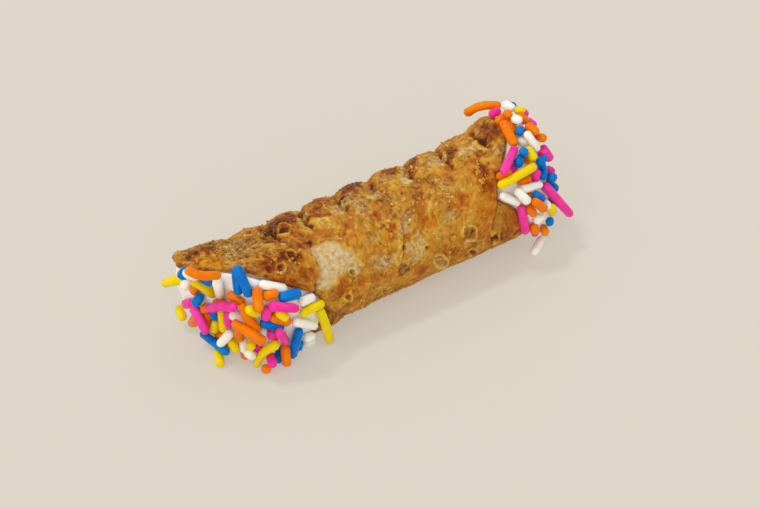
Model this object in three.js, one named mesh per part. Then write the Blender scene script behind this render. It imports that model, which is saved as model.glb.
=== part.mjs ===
// A mini cannoli lying on its side, with both ends dipped in sprinkles.
//
// The shell is one sheet of dough, cut to a rough oval and rolled round a rod: its long side is at the
// back and top, and the two short sides lap over each other at the lower front, so both mouths are cut
// back there. A cream filling runs through the roll and swells out of both mouths, and a coat of
// sprinkles covers each swelling.
//
// Millimetres, +Z up, +X along the roll. The pieces are laid out round the roll's axis and then moved
// together, so that the origin is under the middle of the whole. A bearing is an angle round the axis:
// 0 is the back (+Y), 90 the top and 180 the front. A wrap is a bearing along the rolled sheet, from
// the end that is tucked under (negative) to the free end of the flap.

import * as THREE from "three";

// ---- Driving dimensions, in millimetres and degrees ----

const SHEET = 1.2; // thickness of the fried dough
const ROLL_RADIUS = 12.0; // outside of a single layer
const SEAM_GAP = 0.2; // between the flap and the layer under it
const AXIS_HEIGHT = 11.6; // a little under the radius, which leaves a flat spot to rest on

const TUCKED_END = -205; // wrap of the sheet's inner end
const FLAP_END = 243; // wrap of the sheet's outer end
const FLAP_RISE = [105, 150]; // wraps between which the sheet climbs onto the layer under it

// Where the sheet ends along X, as [wrap, x]. Both mouths are cut back at the lower front.
const LEFT_RIM = [
  [-205, -12], [-165, -17], [-137, -17.4], [-115, -22], [-80, -30], [-40, -35.6], [0, -37.2],
  [30, -38.6], [60, -41.3], [84, -41.2], [100, -38.6], [133, -29.3], [164, -20.8], [205, -14.5],
  [243, -6],
];
const RIGHT_RIM = [
  [-205, 25], [-193, 28.5], [-176, 31.3], [-137, 34.2], [-80, 37.5], [0, 40], [61, 38.4],
  [112, 32.8], [147, 26.4], [180, 23.6], [205, 20], [243, 14],
];

// The ruffles that the dough rises in along the top, one after another down the length.
const RUFFLE = {
  pitch: 8.75, firstCrease: -23, height: 1.1, sharpness: 0.55, rise: [25, 48], fall: [82, 122],
};
const SWELL = { height: 0.22, length: 38, crests: 5 }; // the slow unevenness all over

const CLEARANCE = 0.45; // of the cream and the coats from the shell
const COAT = { gap: 0.3, thickness: 2.1, lump: 0.5 }; // the sprinkles over a mound

// The cream beyond each mouth: where its face is on the axis, how far the face leans for each
// millimetre across, and its radius at each bearing.
const LEFT_MOUND = {
  face: -36.4,
  lean: -0.27,
  radius: [
    [0, 10.6], [60, 11], [136, 12.2], [180, 13], [212, 13.7], [250, 12.2], [300, 11], [360, 10.6],
  ],
};
const RIGHT_MOUND = {
  face: 41.3,
  lean: 0,
  radius: [
    [0, 12], [60, 12.4], [136, 12.2], [180, 12.5], [215, 12.9], [250, 12], [300, 11.6], [360, 12],
  ],
};
const MOUND_DEPTH = 2.5; // least depth of a coat, where the shell reaches past the face
const MOUND_SWELL = 2.2; // distance past the mouth over which the cream swells to full size
const FLOOR_UNDER_CREAM = 2.4; // room for the sprinkles that the cream lies on

// A mound's rings, as [share of the way from mouth to face, share of the radius].
const MOUND_RINGS = [
  [0, 1], [0.14, 1], [0.32, 1.02], [0.52, 1.01], [0.72, 0.96], [0.88, 0.84], [0.97, 0.62], [1, 0.32],
];

// How finely each surface is divided: [round, along] for the shell, round for the rest.
const SHELL_OUTSIDE = [56, 44];
const SHELL_INSIDE = [40, 12];
const MOUND_ROUND = 36;

// ---- Small helpers ----

const radians = THREE.MathUtils.degToRad;
const mix = THREE.MathUtils.lerp;
const ease = ([from, to], at) => THREE.MathUtils.smoothstep(at, from, to);
const last = (list) => list[list.length - 1];

/** A smooth function through [at, value] stations. */
function through(stations) {
  const places = stations.map(([at]) => at);
  const values = stations.map(([, value]) => value);
  const interpolant = new THREE.CubicInterpolant(places, values, 1);
  return (at) => interpolant.evaluate(at)[0];
}

/** A point along the roll at a bearing and a distance from the axis, kept above a lowest height. */
function aroundAxis(x, bearing, radius, lowest = 0) {
  const angle = radians(bearing);
  const height = AXIS_HEIGHT + radius * Math.sin(angle);
  return new THREE.Vector3(x, radius * Math.cos(angle), Math.max(height, lowest));
}

/** Gathers points and the triangles between them. Faces point outwards where rings run along +X. */
class Skin {
  points = [];

  triangles = [];

  add(point) {
    return this.points.push(point) - 1;
  }

  face([first, ...others], flipped = false) {
    const rest = flipped ? others.reverse() : others;
    for (let i = 0; i + 1 < rest.length; i += 1) this.triangles.push(first, rest[i], rest[i + 1]);
  }

  /** Joins rings of equal count into a tube. */
  tube(rings, flipped) {
    for (let k = 0; k + 1 < rings.length; k += 1) {
      rings[k].forEach((point, i) => {
        const next = (i + 1) % rings[k].length;
        this.face([point, rings[k][next], rings[k + 1][next], rings[k + 1][i]], flipped);
      });
    }
  }

  /** Closes the +X end of a tube with a fan round a middle point. */
  cap(ring, middle, flipped) {
    ring.forEach((point, i) => this.face([point, ring[(i + 1) % ring.length], middle], flipped));
  }

  /** Joins two rows of points that run the same way, whatever their counts. */
  stitch(row, other) {
    let i = 0;
    let j = 0;
    while (i + 1 < row.length || j + 1 < other.length) {
      const rowIsBehind = (i + 1) * (other.length - 1) <= (j + 1) * (row.length - 1);
      if (j + 1 === other.length || (i + 1 < row.length && rowIsBehind)) {
        this.face([row[i], row[i + 1], other[j]]);
        i += 1;
      } else {
        this.face([row[i], other[j + 1], other[j]]);
        j += 1;
      }
    }
  }

  geometry() {
    const geometry = new THREE.BufferGeometry().setFromPoints(this.points);
    geometry.setIndex(this.triangles);
    geometry.computeVertexNormals();
    return geometry;
  }
}

// ---- The shell ----

const leftRim = through(LEFT_RIM);
const rightRim = through(RIGHT_RIM);

/** How far the sheet has climbed onto the layer under it. */
const climb = (wrap) => (SHEET + SEAM_GAP) * ease(FLAP_RISE, wrap);

/** Height of the risen dough above the even roll. */
function risen(x, wrap) {
  const along = (Math.PI * (x - RUFFLE.firstCrease)) / RUFFLE.pitch;
  const puff = Math.abs(Math.sin(along)) ** RUFFLE.sharpness;
  const onTop = ease(RUFFLE.rise, wrap) * (1 - ease(RUFFLE.fall, wrap));
  const alongSwell = (2 * Math.PI * x) / SWELL.length;
  const round = Math.sin(radians(SWELL.crests * wrap) - alongSwell);
  const unevenness = Math.sin(alongSwell + radians(2 * wrap)) * round;
  return RUFFLE.height * (puff - 0.65) * onTop + SWELL.height * unevenness;
}

/** How much of the rising shows: none at the edges, or where the flap covers the sheet. */
function freedom(share, wrap) {
  const fromRims = ease([0, 0.05], Math.min(share, 1 - share));
  const uncovered = ease([-112, -95], wrap);
  const fromFlapEnd = 1 - ease([FLAP_END - 14, FLAP_END], wrap);
  return fromRims * uncovered * fromFlapEnd;
}

function outsideOfShell(share, wrap) {
  const x = mix(leftRim(wrap), rightRim(wrap), share);
  return aroundAxis(x, wrap, ROLL_RADIUS + climb(wrap) + risen(x, wrap) * freedom(share, wrap));
}

function insideOfShell(share, wrap) {
  const x = mix(leftRim(wrap), rightRim(wrap), share);
  return aroundAxis(x, wrap, ROLL_RADIUS - SHEET + climb(wrap), SHEET / 2);
}

/** A grid of points over the sheet: rows along the wrap, each from the left rim to the right. */
function sheetGrid(skin, [rows, columns], pointAt) {
  return Array.from({ length: rows + 1 }, (_, i) => {
    const wrap = mix(TUCKED_END, FLAP_END, i / rows);
    return Array.from({ length: columns + 1 }, (__, j) => skin.add(pointAt(j / columns, wrap)));
  });
}

function coverGrid(skin, grid, flipped) {
  for (let i = 0; i + 1 < grid.length; i += 1) {
    for (let j = 0; j + 1 < grid[i].length; j += 1) {
      skin.face([grid[i][j], grid[i + 1][j], grid[i + 1][j + 1], grid[i][j + 1]], flipped);
    }
  }
}

/** The grid's four edges, one after another round it. */
function edgesOf(grid) {
  return [grid[0], grid.map(last), [...last(grid)].reverse(), grid.map((row) => row[0]).reverse()];
}

function shellGeometry() {
  const skin = new Skin();
  const outside = sheetGrid(skin, SHELL_OUTSIDE, outsideOfShell);
  const inside = sheetGrid(skin, SHELL_INSIDE, insideOfShell);
  coverGrid(skin, outside, false);
  coverGrid(skin, inside, true);
  const insideEdges = edgesOf(inside);
  edgesOf(outside).forEach((edge, side) => skin.stitch(edge, insideEdges[side]));
  return skin.geometry();
}

// ---- The filling and its coats ----

const INSIDE_RADIUS = ROLL_RADIUS - SHEET - CLEARANCE;

/** Where the shell ends at a bearing, on its longer layer; towards is -1 for left, 1 for right. */
function rimAt(bearing, towards) {
  const rim = towards < 0 ? leftRim : rightRim;
  const wraps = [bearing - 360, bearing].filter((wrap) => wrap >= TUCKED_END && wrap <= FLAP_END);
  return Math.max(...wraps.map((wrap) => towards * rim(wrap)));
}

/** How far out the shell reaches in the facet on each side of a bearing. */
function mouthAt(bearing, towards) {
  const facet = 360 / MOUND_ROUND;
  const near = [-facet, -facet / 2, 0, facet / 2, facet].map((turn) => (bearing + turn + 360) % 360);
  return Math.max(...near.map((place) => rimAt(place, towards)));
}

const MOUND_BEARINGS = Array.from({ length: MOUND_ROUND }, (_, i) => (360 * i) / MOUND_ROUND);

/** A mound's rings from left to right, on the cream itself or raised off it by an allowance. */
function moundRings(skin, mound, towards, allowance, lump, lowest) {
  const radiusAt = through(mound.radius);
  const rings = MOUND_RINGS.map(([along, share]) => MOUND_BEARINGS.map((bearing) => {
    const full = radiusAt(bearing);
    const mouth = mouthAt(bearing, towards);
    const face = towards * (mound.face + mound.lean * full * share * Math.cos(radians(bearing)));
    const start = Math.min(mouth + 2 * CLEARANCE, face - MOUND_DEPTH);
    const reach = mix(start, face + allowance, along);
    const swollen = ease([CLEARANCE, CLEARANCE + MOUND_SWELL], reach - mouth);
    const tucked = 1 - ease([2 * CLEARANCE, 2 * MOUND_DEPTH], face - MOUND_DEPTH - mouth);
    const inMouth = INSIDE_RADIUS - (COAT.gap + COAT.thickness) * tucked;
    const waves =
      Math.sin(radians(7 * bearing) + 5 * along) * Math.sin(radians(3 * bearing) + 11 * along);
    const lumps = lump * swollen * waves;
    const radius = mix(inMouth, full, swollen) * share + allowance * Math.sqrt(1 - (0.9 * along) ** 2);
    return skin.add(aroundAxis(towards * (reach + lumps * along), bearing, radius + lumps, lowest));
  }));
  return towards < 0 ? rings.reverse() : rings;
}

function creamGeometry() {
  const skin = new Skin();
  const mound = (shape, towards) => moundRings(skin, shape, towards, 0, 0, FLOOR_UNDER_CREAM);
  const inShell = (towards, depth) =>
    MOUND_BEARINGS.map((bearing) => {
      const shape = towards < 0 ? LEFT_MOUND : RIGHT_MOUND;
      const face = towards * shape.face - MOUND_DEPTH - Math.abs(shape.lean) * INSIDE_RADIUS;
      const reach = Math.min(mouthAt(bearing, towards), face) - depth;
      return skin.add(aroundAxis(towards * reach, bearing, INSIDE_RADIUS));
    });
  const rings = [
    ...mound(LEFT_MOUND, -1),
    inShell(-1, 1),
    inShell(-1, 8),
    inShell(1, 8),
    inShell(1, 1),
    ...mound(RIGHT_MOUND, 1),
  ];
  skin.tube(rings, false);
  skin.cap(rings[0], skin.add(aroundAxis(LEFT_MOUND.face, 0, 0)), true);
  skin.cap(last(rings), skin.add(aroundAxis(RIGHT_MOUND.face, 0, 0)), false);
  return skin.geometry();
}

/** The sprinkles over one mound, as one lumpy cap with a hollow that fits the cream. */
function coatGeometry(mound, towards) {
  const skin = new Skin();
  const atLeft = towards < 0;
  const layer = (allowance, lump, lowest) => moundRings(skin, mound, towards, allowance, lump, lowest);
  const tip = (allowance) => skin.add(aroundAxis(mound.face + towards * allowance, 0, 0));
  const outer = layer(COAT.gap + COAT.thickness, COAT.lump, 0);
  const inner = layer(COAT.gap, 0, FLOOR_UNDER_CREAM - COAT.gap);
  skin.tube(outer, false);
  skin.tube(inner, true);
  skin.tube(atLeft ? [last(outer), last(inner)] : [inner[0], outer[0]], false);
  skin.cap(atLeft ? outer[0] : last(outer), tip(COAT.gap + COAT.thickness), atLeft);
  skin.cap(atLeft ? inner[0] : last(inner), tip(COAT.gap), !atLeft);
  return skin.geometry();
}

// ---- The pieces ----

function piece(name, geometry, color, roughness) {
  const material = new THREE.MeshStandardMaterial({ color, roughness, metalness: 0 });
  const mesh = new THREE.Mesh(geometry, material);
  mesh.name = name;
  return mesh;
}

const cannoli = new THREE.Group();
cannoli.add(
  piece("pastry_shell", shellGeometry(), 0xc08a45, 0.6),
  piece("cream_filling", creamGeometry(), 0xf4efe6, 0.5),
  piece("sprinkles_left", coatGeometry(LEFT_MOUND, -1), 0xf07a1e, 0.35),
  piece("sprinkles_right", coatGeometry(RIGHT_MOUND, 1), 0xf07a1e, 0.35),
);

// The origin goes under the middle of the whole, on the surface that it rests on.
const extent = new THREE.Box3().setFromObject(cannoli);
const middle = extent.getCenter(new THREE.Vector3());
cannoli.position.set(-middle.x, -middle.y, -extent.min.z);

export default cannoli;
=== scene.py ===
"""A mini cannoli: a blistered fried pastry roll, filled with cream, with sprinkles on both ends.

Laid out as a Blender add-on: settings, one operator for each group of pieces, one for the stage, and a
panel that lists them. Lengths in the code are millimetres round the roll's axis (x along the roll, y to
the back, z up) until the last step of each piece, which moves it into the frame, in metres. A bearing is
an angle round the axis: 0 is the back, 90 the top, 180 the front. A wrap is a bearing along the rolled
sheet of dough, from the end that is tucked under to the free end of the flap.
"""

import math

import bpy
import numpy as np
from bpy.props import FloatProperty, FloatVectorProperty, IntProperty, PointerProperty
from mathutils import Matrix, Vector
from mathutils.bvhtree import BVHTree


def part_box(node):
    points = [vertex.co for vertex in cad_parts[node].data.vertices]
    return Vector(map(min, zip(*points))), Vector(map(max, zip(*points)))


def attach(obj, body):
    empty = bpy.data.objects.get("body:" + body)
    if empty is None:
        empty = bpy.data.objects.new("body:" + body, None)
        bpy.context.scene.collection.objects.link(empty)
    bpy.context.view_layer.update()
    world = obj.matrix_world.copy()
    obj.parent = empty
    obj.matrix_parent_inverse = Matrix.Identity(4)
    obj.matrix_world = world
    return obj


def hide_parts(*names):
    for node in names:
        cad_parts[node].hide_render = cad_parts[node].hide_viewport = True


bl_info = {
    "name": "Sprinkled Cannoli",
    "version": (1, 0, 0),
    "blender": (4, 5, 0),
    "location": "View3D > Sidebar > Cannoli",
    "description": "Builds a fried pastry roll with cream and sprinkles round its packed model",
    "category": "Add Mesh",
}

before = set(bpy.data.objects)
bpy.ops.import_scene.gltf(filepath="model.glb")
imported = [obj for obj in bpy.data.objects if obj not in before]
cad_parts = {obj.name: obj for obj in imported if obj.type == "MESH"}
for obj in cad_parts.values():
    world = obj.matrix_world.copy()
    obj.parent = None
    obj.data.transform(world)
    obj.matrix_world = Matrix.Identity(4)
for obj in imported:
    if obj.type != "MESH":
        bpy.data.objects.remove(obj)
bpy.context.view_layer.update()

MM = 0.001
SHELL_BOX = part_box("pastry_shell")
ROLL_AXIS = np.array([-1.282, 1.342, 11.6])  # where the roll's middle lies in the frame, in mm

# ---- Sizes of the roll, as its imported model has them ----

SHEET = 1.2
ROLL_RADIUS = 12.0
SEAM_GAP = 0.2
TUCKED_END = -205.0
FLAP_END = 243.0
FLAP_RISE = (105.0, 150.0)
FLOOR = -ROLL_AXIS[2]
DEEP_RADIUS = 8.4  # of the cream deep inside, clear of the creases

LEFT_RIM = (
    (-205, -12), (-165, -17.3), (-148, -18.6), (-132, -20.4), (-115, -23), (-80, -30), (-40, -35.6), (0, -37.2),
    (30, -38.4), (48, -40.3), (60, -41.5), (72, -42.4), (84, -42.8), (92, -42.0), (101, -39.6), (116, -34.0),
    (133, -29.3), (153, -24.4), (164, -20.8), (190, -17.6), (205, -14.5), (223, -11.3), (243, -6),
)
RIGHT_RIM = (
    (-205, 26), (-193, 28.5), (-184, 30.5), (-172, 31.8), (-159, 32.8), (-137, 34.2), (-100, 36.6), (-50, 39),
    (0, 39.8), (61, 38.2), (90, 35.9), (112, 33.1), (126, 30.1), (147, 26.3), (171, 24.6), (187, 22.6),
    (200, 20.3), (223, 18.6), (243, 14),
)
ROW_STATIONS = ((0, -205), (0.06, -112), (0.26, -20), (1, 243))  # wrap at each share of the grid's rows
# Where the creases between the puffs meet the bearing LOW_END, and where they meet HIGH_END.
CREASES = np.array([-60, -49, -39.5, -30.5, -21.6, -14.2, -5.4, 2.9, 11.8, 20.8, 30.6, 40, 50])
CREASES_AT_TOP = np.array([-58, -47, -37.5, -28.6, -18.7, -10.6, -2.8, 6.1, 15.3, 23.4, 32.5, 42, 52])
LOW_END, HIGH_END = 86.0, 45.0
TOP_RADIUS = (
    (-44, 12.2), (-38, 12.0), (-34, 11.5), (-30, 10.9), (-26, 10.4), (-20, 10.3), (-12, 10.35), (0, 10.5),
    (12, 10.55), (22, 10.6), (28, 11.0), (32, 11.7), (36, 12.5), (41, 12.7),
)
BASE_BROWNING = 0.475
FLAKED_BROWNING = 0.12
LIPS = {"left": 2.2, "right": 1.6}  # how far the bare under-layer springs out at the lower front

# ---- The browning, in pixels of the camera's picture ----

# Each row: centre, reach along and across, tilt of the long way, change in browning and in dryness.
PATCHES = (
    # the near tip
    (205, 247, 30, 5, -14, 0.06, 0.2), (206, 251.5, 12, 3, -8, 0.26, -0.2), (193, 257, 8, 5, -10, 0.24, -0.4),
    (210, 262, 19, 5, 2, 0.04, -0.4), (203, 264, 4, 2, 0, -0.2, 0), (234, 264, 12, 5, 0, -0.1, 0.5),
    (243, 248, 20, 12, -10, 0.1, 0.6), (237, 243, 8, 6, -10, -0.12, 0), (257, 263, 9, 6, 10, 0.02, 0.3), (181, 258, 5, 8, 0, 0.1, 0.15),
    # the dark, broken puff
    (265, 233, 8, 6, -20, 0.26, 0.1), (275, 225, 7, 6, 0, 0.36, -0.45), (269, 241, 9, 5, 0, 0.3, -0.2),
    (272, 217, 10, 6, -30, 0.26, -0.1), (289, 221, 12, 8, -10, 0.38, -0.9), (284, 235, 10, 8, 0, 0.24, -0.05),
    (303, 220, 6, 8, 0, -0.26, 0.2), (303, 212.5, 5, 4, 0, 0.14, 0.4), (309, 219, 4, 4, 0, 0.16, -0.1),
    (301, 236, 13, 5, 15, 0.22, -0.15),
    # the slope left of the flaked patch
    (273, 264, 14, 9, 0, 0.36, -0.8), (280, 264, 7, 6, 0, -0.16, 0.0), (291, 256, 12, 6, 0, 0.36, -0.3), (306, 245, 8, 5, 0, 0.34, -0.15),
    (294, 245, 7, 5, 0, 0.26, 0.0), (298, 261, 9, 6, 0, 0.24, -0.25), (267, 254, 7, 6, 0, 0.1, -0.05), (306, 274, 9, 8, 20, 0.26, -0.35),
    (288, 278, 14, 6, 10, 0.12, -0.45), (290, 284, 24, 3.5, 16, 0.18, -0.35), (252, 271, 9, 4, 15, 0.14, -0.1),
    # The row centred at (316, 282) is painted shadow below the lower end of the flaked patch's torn edge.
    (312, 260, 6, 18, -10, 0.1, 0.0), (316, 282, 5, 8, 0, 0.2, -0.4),
    # the middle puffs
    (315, 206, 9, 4, -28, 0.24, -0.05), (325, 200, 7, 4, 0, 0.14, -0.5), (320, 214, 13, 5, 0, 0.24, -0.2),
    (323, 222, 8, 5, 0, -0.16, 0.1), (339, 208, 8, 9, 0, -0.22, 0.45), (333, 216, 6, 4, 0, 0.0, 0.1),
    (351, 190, 14, 6.5, -20, 0.46, -0.35), (354, 200, 14, 6, -25, 0.02, 0.45), (359, 207.5, 6.5, 5, 0, 0.06, 0.7),
    (334, 201, 5, 4, 20, -0.1, 0.2), (362, 211, 10, 6, 0, -0.1, 0.4), (349, 223, 6, 5, 20, 0.16, -0.2), (338, 229, 6, 6, 20, -0.1, -0.1),
    (359, 230, 9, 7, 0, 0.02, -0.1), (353, 242, 11, 6, 0, 0.04, -0.2), (325, 233, 18, 4.5, -5, 0.1, -0.25),
    (366, 180, 4, 6, 0, -0.14, 0.2),
    # right of the flaked patch
    (389, 172, 9, 5, -10, 0.3, -0.3), (385, 182, 9, 5, -20, -0.06, 0.15), (402, 172, 5, 9, 0, -0.16, 0.2),
    (387, 199, 12, 6, 20, 0.12, 0.3), (374, 193, 5, 8, 20, -0.26, 0.45), (384, 189, 5, 4, 0, 0.12, 0), (386, 206, 11, 6, 0, 0.12, -0.15), (378, 216, 5, 6, 0, 0.22, -0.3), (392, 215, 7, 6, 0, 0.16, 0.15),
    (368, 223, 5, 4, 0, -0.12, 0.35), (391, 228, 7, 6, 0, 0.26, -0.4), (376, 238, 6, 7, 0, -0.1, 0.25), (389, 238, 6, 6, 0, 0.14, -0.15), (404, 225, 7, 12, 0, -0.1, 0.65),
    (397, 246, 6, 10, 0, -0.1, 0.05), (379, 263, 10, 8, 0, -0.22, 0.75), (388, 259, 9, 6, 0, -0.14, 0.5),
    (355, 267, 9, 7, 0, -0.16, 0.5), (403, 269, 7, 7, 0, 0.3, 0.65), (378, 277, 20, 4.5, -6, 0.06, -0.3),
    (344, 287, 9, 8, -10, 0.18, -0.6), (362, 281, 9, 6, 0, 0.04, -0.35), (338, 297, 10, 4, -25, 0.1, 0.1), (351, 293, 14, 5, -15, 0.02, -0.1),
    (380, 291, 14, 5, -22, -0.04, 0.2), (350, 304, 20, 3.5, -24, 0.12, 0), (400, 285, 22, 4, -24, 0.08, 0.1), (420, 270, 9, 6, -20, 0.12, -0.4), (336, 319, 14, 6, -35, 0.22, 0.15),
    # between the long stripes
    (413, 166, 6, 8, 20, 0.42, -0.1), (406, 178, 6, 9, 0, -0.26, 0.35), (417, 192, 6, 9, 15, 0.2, 0.1), (417, 181, 7, 5, 0, 0.02, 0.35),
    (421, 205, 5, 12, 12, 0.14, -0.25), (429, 204, 5, 5, 0, -0.16, 0), (411, 213, 6, 11, 10, 0.1, 0.2),
    (416, 247, 12, 17, 15, -0.26, 0.35), (408, 237, 3.5, 3.5, 0, 0.16, -0.7), (429, 182, 9, 10, 0, 0.12, 0.15),
    (428, 165, 9, 6, -20, 0.0, 0.4), (440, 160, 9, 6, 0, -0.36, 0.5), (450, 154, 6, 6, -20, 0.32, 0.0), (427, 221, 11, 9, 0, 0.04, -0.45),
    (449, 217, 8, 8, 0, -0.08, 0.4), (448, 168, 8, 5, 0, 0.12, 0.05), (446, 187, 8, 12, 35, 0.06, 0.2), (433, 187, 5, 6, 0, -0.04, 0.3),
    (449, 252, 11, 4, -10, 0.16, -0.3), (441, 262, 8, 5, 0, -0.14, 0.2), (465, 224, 8, 8, 0, -0.02, 0.05),
    # the far puffs and the smooth end
    (480, 126, 14, 7, -20, 0.1, 0.15), (490, 134, 11, 9, 0, 0.3, -0.3), (480, 146, 10, 5, 15, -0.36, -0.25), (494, 151, 4, 6, 0, -0.14, 0.3),
    (465, 153, 10, 8, 0, -0.22, 0.45), (479, 154, 7, 5, 0, 0.26, -0.1), (484, 161, 5, 3.5, 0, -0.12, 0),
    (481, 174, 10, 10, 0, 0.24, -0.3), (487, 187, 7, 9, 0, 0.18, -0.5), (457, 201, 8, 9, 0, 0.1, -0.3), (467, 183, 8, 7, 0, -0.04, 0.05), (466, 199, 7, 8, 0, 0.12, -0.35), (479, 219, 9, 5, 0, 0.02, -0.35),
    (475, 209, 11, 11, 0, -0.02, -0.3), (488, 213, 6, 9, 0, 0.04, -0.45), (493, 201, 5, 8, 0, 0.04, -0.25), (497, 176, 5, 10, 0, 0.26, 0.2), (484, 231, 12, 9, 0, 0.06, -0.25),
    (509, 222, 9, 12, 0, 0.12, -0.15), (505, 236, 14, 4, -20, 0.2, 0.0), (465, 252, 16, 5, -25, 0.1, -0.1),
    (501, 150, 5, 7, 0, -0.08, 0.4),
)

# Where the outer skin has flaked off and left pale dough.
FLAKED_PATCH = (
    (309.5, 247), (311, 254), (316, 261), (319, 268.5), (318, 275), (315.5, 281), (315.5, 288), (321, 291),
    (330, 289), (337, 283), (343, 276), (350, 270), (354, 262), (360, 258), (354, 251), (345, 247), (340, 241),
    (334, 239.5), (328, 239.5), (323, 242), (317, 245.5),
)
# Torn edges of skin: how strong, then corners, run so that the raised skin is on the right.
TORN_EDGES = (
    (0.8, (309, 246), (310.5, 254.5), (316, 261.5), (319, 269), (318, 276), (315, 282), (314, 292)),
    (0.7, (369, 186), (380, 191), (388, 198)),
    (0.35, (380, 224), (387, 231), (393, 238)),
    (0.3, (497, 203), (495, 215), (491, 229), (486, 240), (478, 249)),
    (0.45, (398, 214), (402, 228), (403.5, 240), (403.5, 252), (400, 262)),
    (0.4, (342, 241), (334, 238.5), (328, 238.5), (322, 241)),
)
# Burst blisters: centre, radius, 2 for a round one or 4 for a square one, and how brown its floor is.
CRATERS = (
    (281.5, 267.5, 5.2, 2, 0.06), (284, 231, 6.0, 2, 0.1), (291, 254, 4.6, 2, -0.22), (440.5, 261, 6.4, 2, 0.02),
    (494, 238, 4.4, 2, 0.3), (348, 297, 4.4, 2, 0.1), (353, 272, 3.6, 2, 0.1), (473, 253, 4.0, 2, 0.1),
    (469.8, 233.2, 7.0, 4, 0.08),
)
# Pits and the holes in the creases: each is sunk a little and darkened with painted shade.
PITS = (
    (404, 247, 1.5), (405, 249.4, 1.5), (427, 247.8, 1.6), (401.4, 194.2, 1.2), (344, 201.6, 1.5), (347, 206.6, 1.8),
    (308.4, 219.5, 1.8), (298, 213.6, 1.4), (306, 216.4, 1.2), (440, 153.6, 1.6), (444, 157, 1.5), (411, 175, 2.2),
    (371, 186, 1.6), (470, 134, 1.2), (474, 136.4, 1.2), (480, 138.6, 1.0), (496, 236.6, 1.2),
    (334.6, 253.4, 1.3), (240, 258, 1.4), (247, 256.6, 1.4), (257, 257, 1.5), (247, 263, 1.4), (260, 230, 1.8),
    (265, 233, 2.0), (271, 225, 1.8), (276, 219.6, 1.6), (263, 238.6, 1.7), (311, 225, 1.8), (381, 228, 1.5),
    (471, 252.8, 1.6), (309.4, 243, 1.8), (316.6, 286, 1.8), (464.4, 238.6, 1.5), (467, 226.4, 1.5),
)
# Pale crumbs and beads that stand on the skin.
GRAINS = (
    (274.5, 259, 1.8), (290.7, 259, 1.8), (298.5, 262.4, 1.6), (271, 252, 1.6), (283, 244, 1.6), (262, 246, 1.6),
    (387, 227.6, 2.2), (391, 235.6, 2.0), (478, 163, 1.8), (475, 169, 2.4), (479, 173.4, 2.2), (480.4, 180, 2.4),
    (484.4, 180.4, 1.8), (487, 176, 1.5), (437, 181, 1.7), (441, 184, 1.6), (441, 188, 1.7), (447, 193, 1.7),
    (448.6, 196, 1.8), (452, 197, 1.5), (450.4, 199.4, 1.7), (455, 203, 1.5), (432, 198.6, 1.6),
    (425, 190, 1.5), (449.6, 251.8, 2.0), (457.6, 251.8, 1.9), (325, 207, 2.0), (444, 144, 1.8), (447, 148, 1.7),
    (414, 170, 1.6), (404, 199, 1.5), (413, 203, 1.8), (409, 212, 1.6), (407, 222, 1.7), (276, 271, 1.4),
    (235, 253, 1.6), (228, 248, 1.4), (221, 246, 1.4), (243, 251, 1.4), (300, 251, 1.5), (484, 216, 1.5),
    (466, 247, 1.6), (356, 279, 1.8), (330, 293, 1.6), (362, 301, 1.5), (385, 190, 1.7), (394, 203, 1.5),
)
GRAIN_CLUSTER = 3  # crumbs at each of them

# ---- The cream beyond each mouth: its face, how the face leans and bulges under the top, and its radius ----

MOUNDS = {
    -1: {"face": -36.4, "lean": -0.27, "bulge": 4.0, "radius": (
        (0, 11.3), (60, 11), (136, 12.2), (180, 13), (212, 13.7), (250, 12.4), (300, 12), (360, 11.3))},
    1: {"face": 41.6, "lean": 0.0, "bulge": 0.0, "radius": (
        (0, 12), (40, 12.8), (75, 13.7), (110, 13.3), (136, 12.5), (180, 12.9), (215, 13.3), (250, 12.2),
        (300, 11.6), (360, 12))},
}

# ---- The camera: where it looks from, in the millimetres of the roll's axis ----

PICTURE = (760, 507)
LENS = 90.0
SENSOR = 36.0
CAMERA_TURN = math.radians(34.78)
CAMERA_RISE = math.radians(40.0)
CAMERA_TARGET = np.array([4.066, 0.0, -6.8])
CAMERA_DISTANCE = 402.33

BACK = np.array([
    -math.sin(CAMERA_TURN) * math.cos(CAMERA_RISE),
    -math.cos(CAMERA_TURN) * math.cos(CAMERA_RISE),
    math.sin(CAMERA_RISE),
])
RIGHT = np.array([math.cos(CAMERA_TURN), -math.sin(CAMERA_TURN), 0.0])
UP = np.cross(BACK, RIGHT)
EYE = CAMERA_TARGET + CAMERA_DISTANCE * BACK
FOCUS = LENS / SENSOR * PICTURE[0]


def sight(px, py):
    """The unit direction from the camera through a pixel of its 760 x 507 picture."""
    ray = -BACK + RIGHT * (px - PICTURE[0] / 2) / FOCUS - UP * (py - PICTURE[1] / 2) / FOCUS
    return ray / np.linalg.norm(ray)


# ---- Small helpers ----

def arc(wrap):
    """Arc length along the sheet, in mm, at a wrap in degrees."""
    return np.radians(wrap) * ROLL_RADIUS


def mix(a, b, share):
    return a + (b - a) * share


def ease(low, high, at):
    t = np.clip((at - low) / (high - low), 0, 1)
    return t * t * (3 - 2 * t)


def through(stations):
    """A smooth function through (at, value) stations."""
    at, value = (np.array(column, float) for column in zip(*stations))
    slope = np.gradient(value, at)

    def function(x):
        x = np.clip(x, at[0], at[-1])
        i = np.clip(np.searchsorted(at, x) - 1, 0, len(at) - 2)
        width = at[i + 1] - at[i]
        t = (x - at[i]) / width
        return ((1 + 2 * t) * (1 - t) ** 2 * value[i] + t * (1 - t) ** 2 * width * slope[i]
                + t * t * (3 - 2 * t) * value[i + 1] + t * t * (t - 1) * width * slope[i + 1])

    return function


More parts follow.
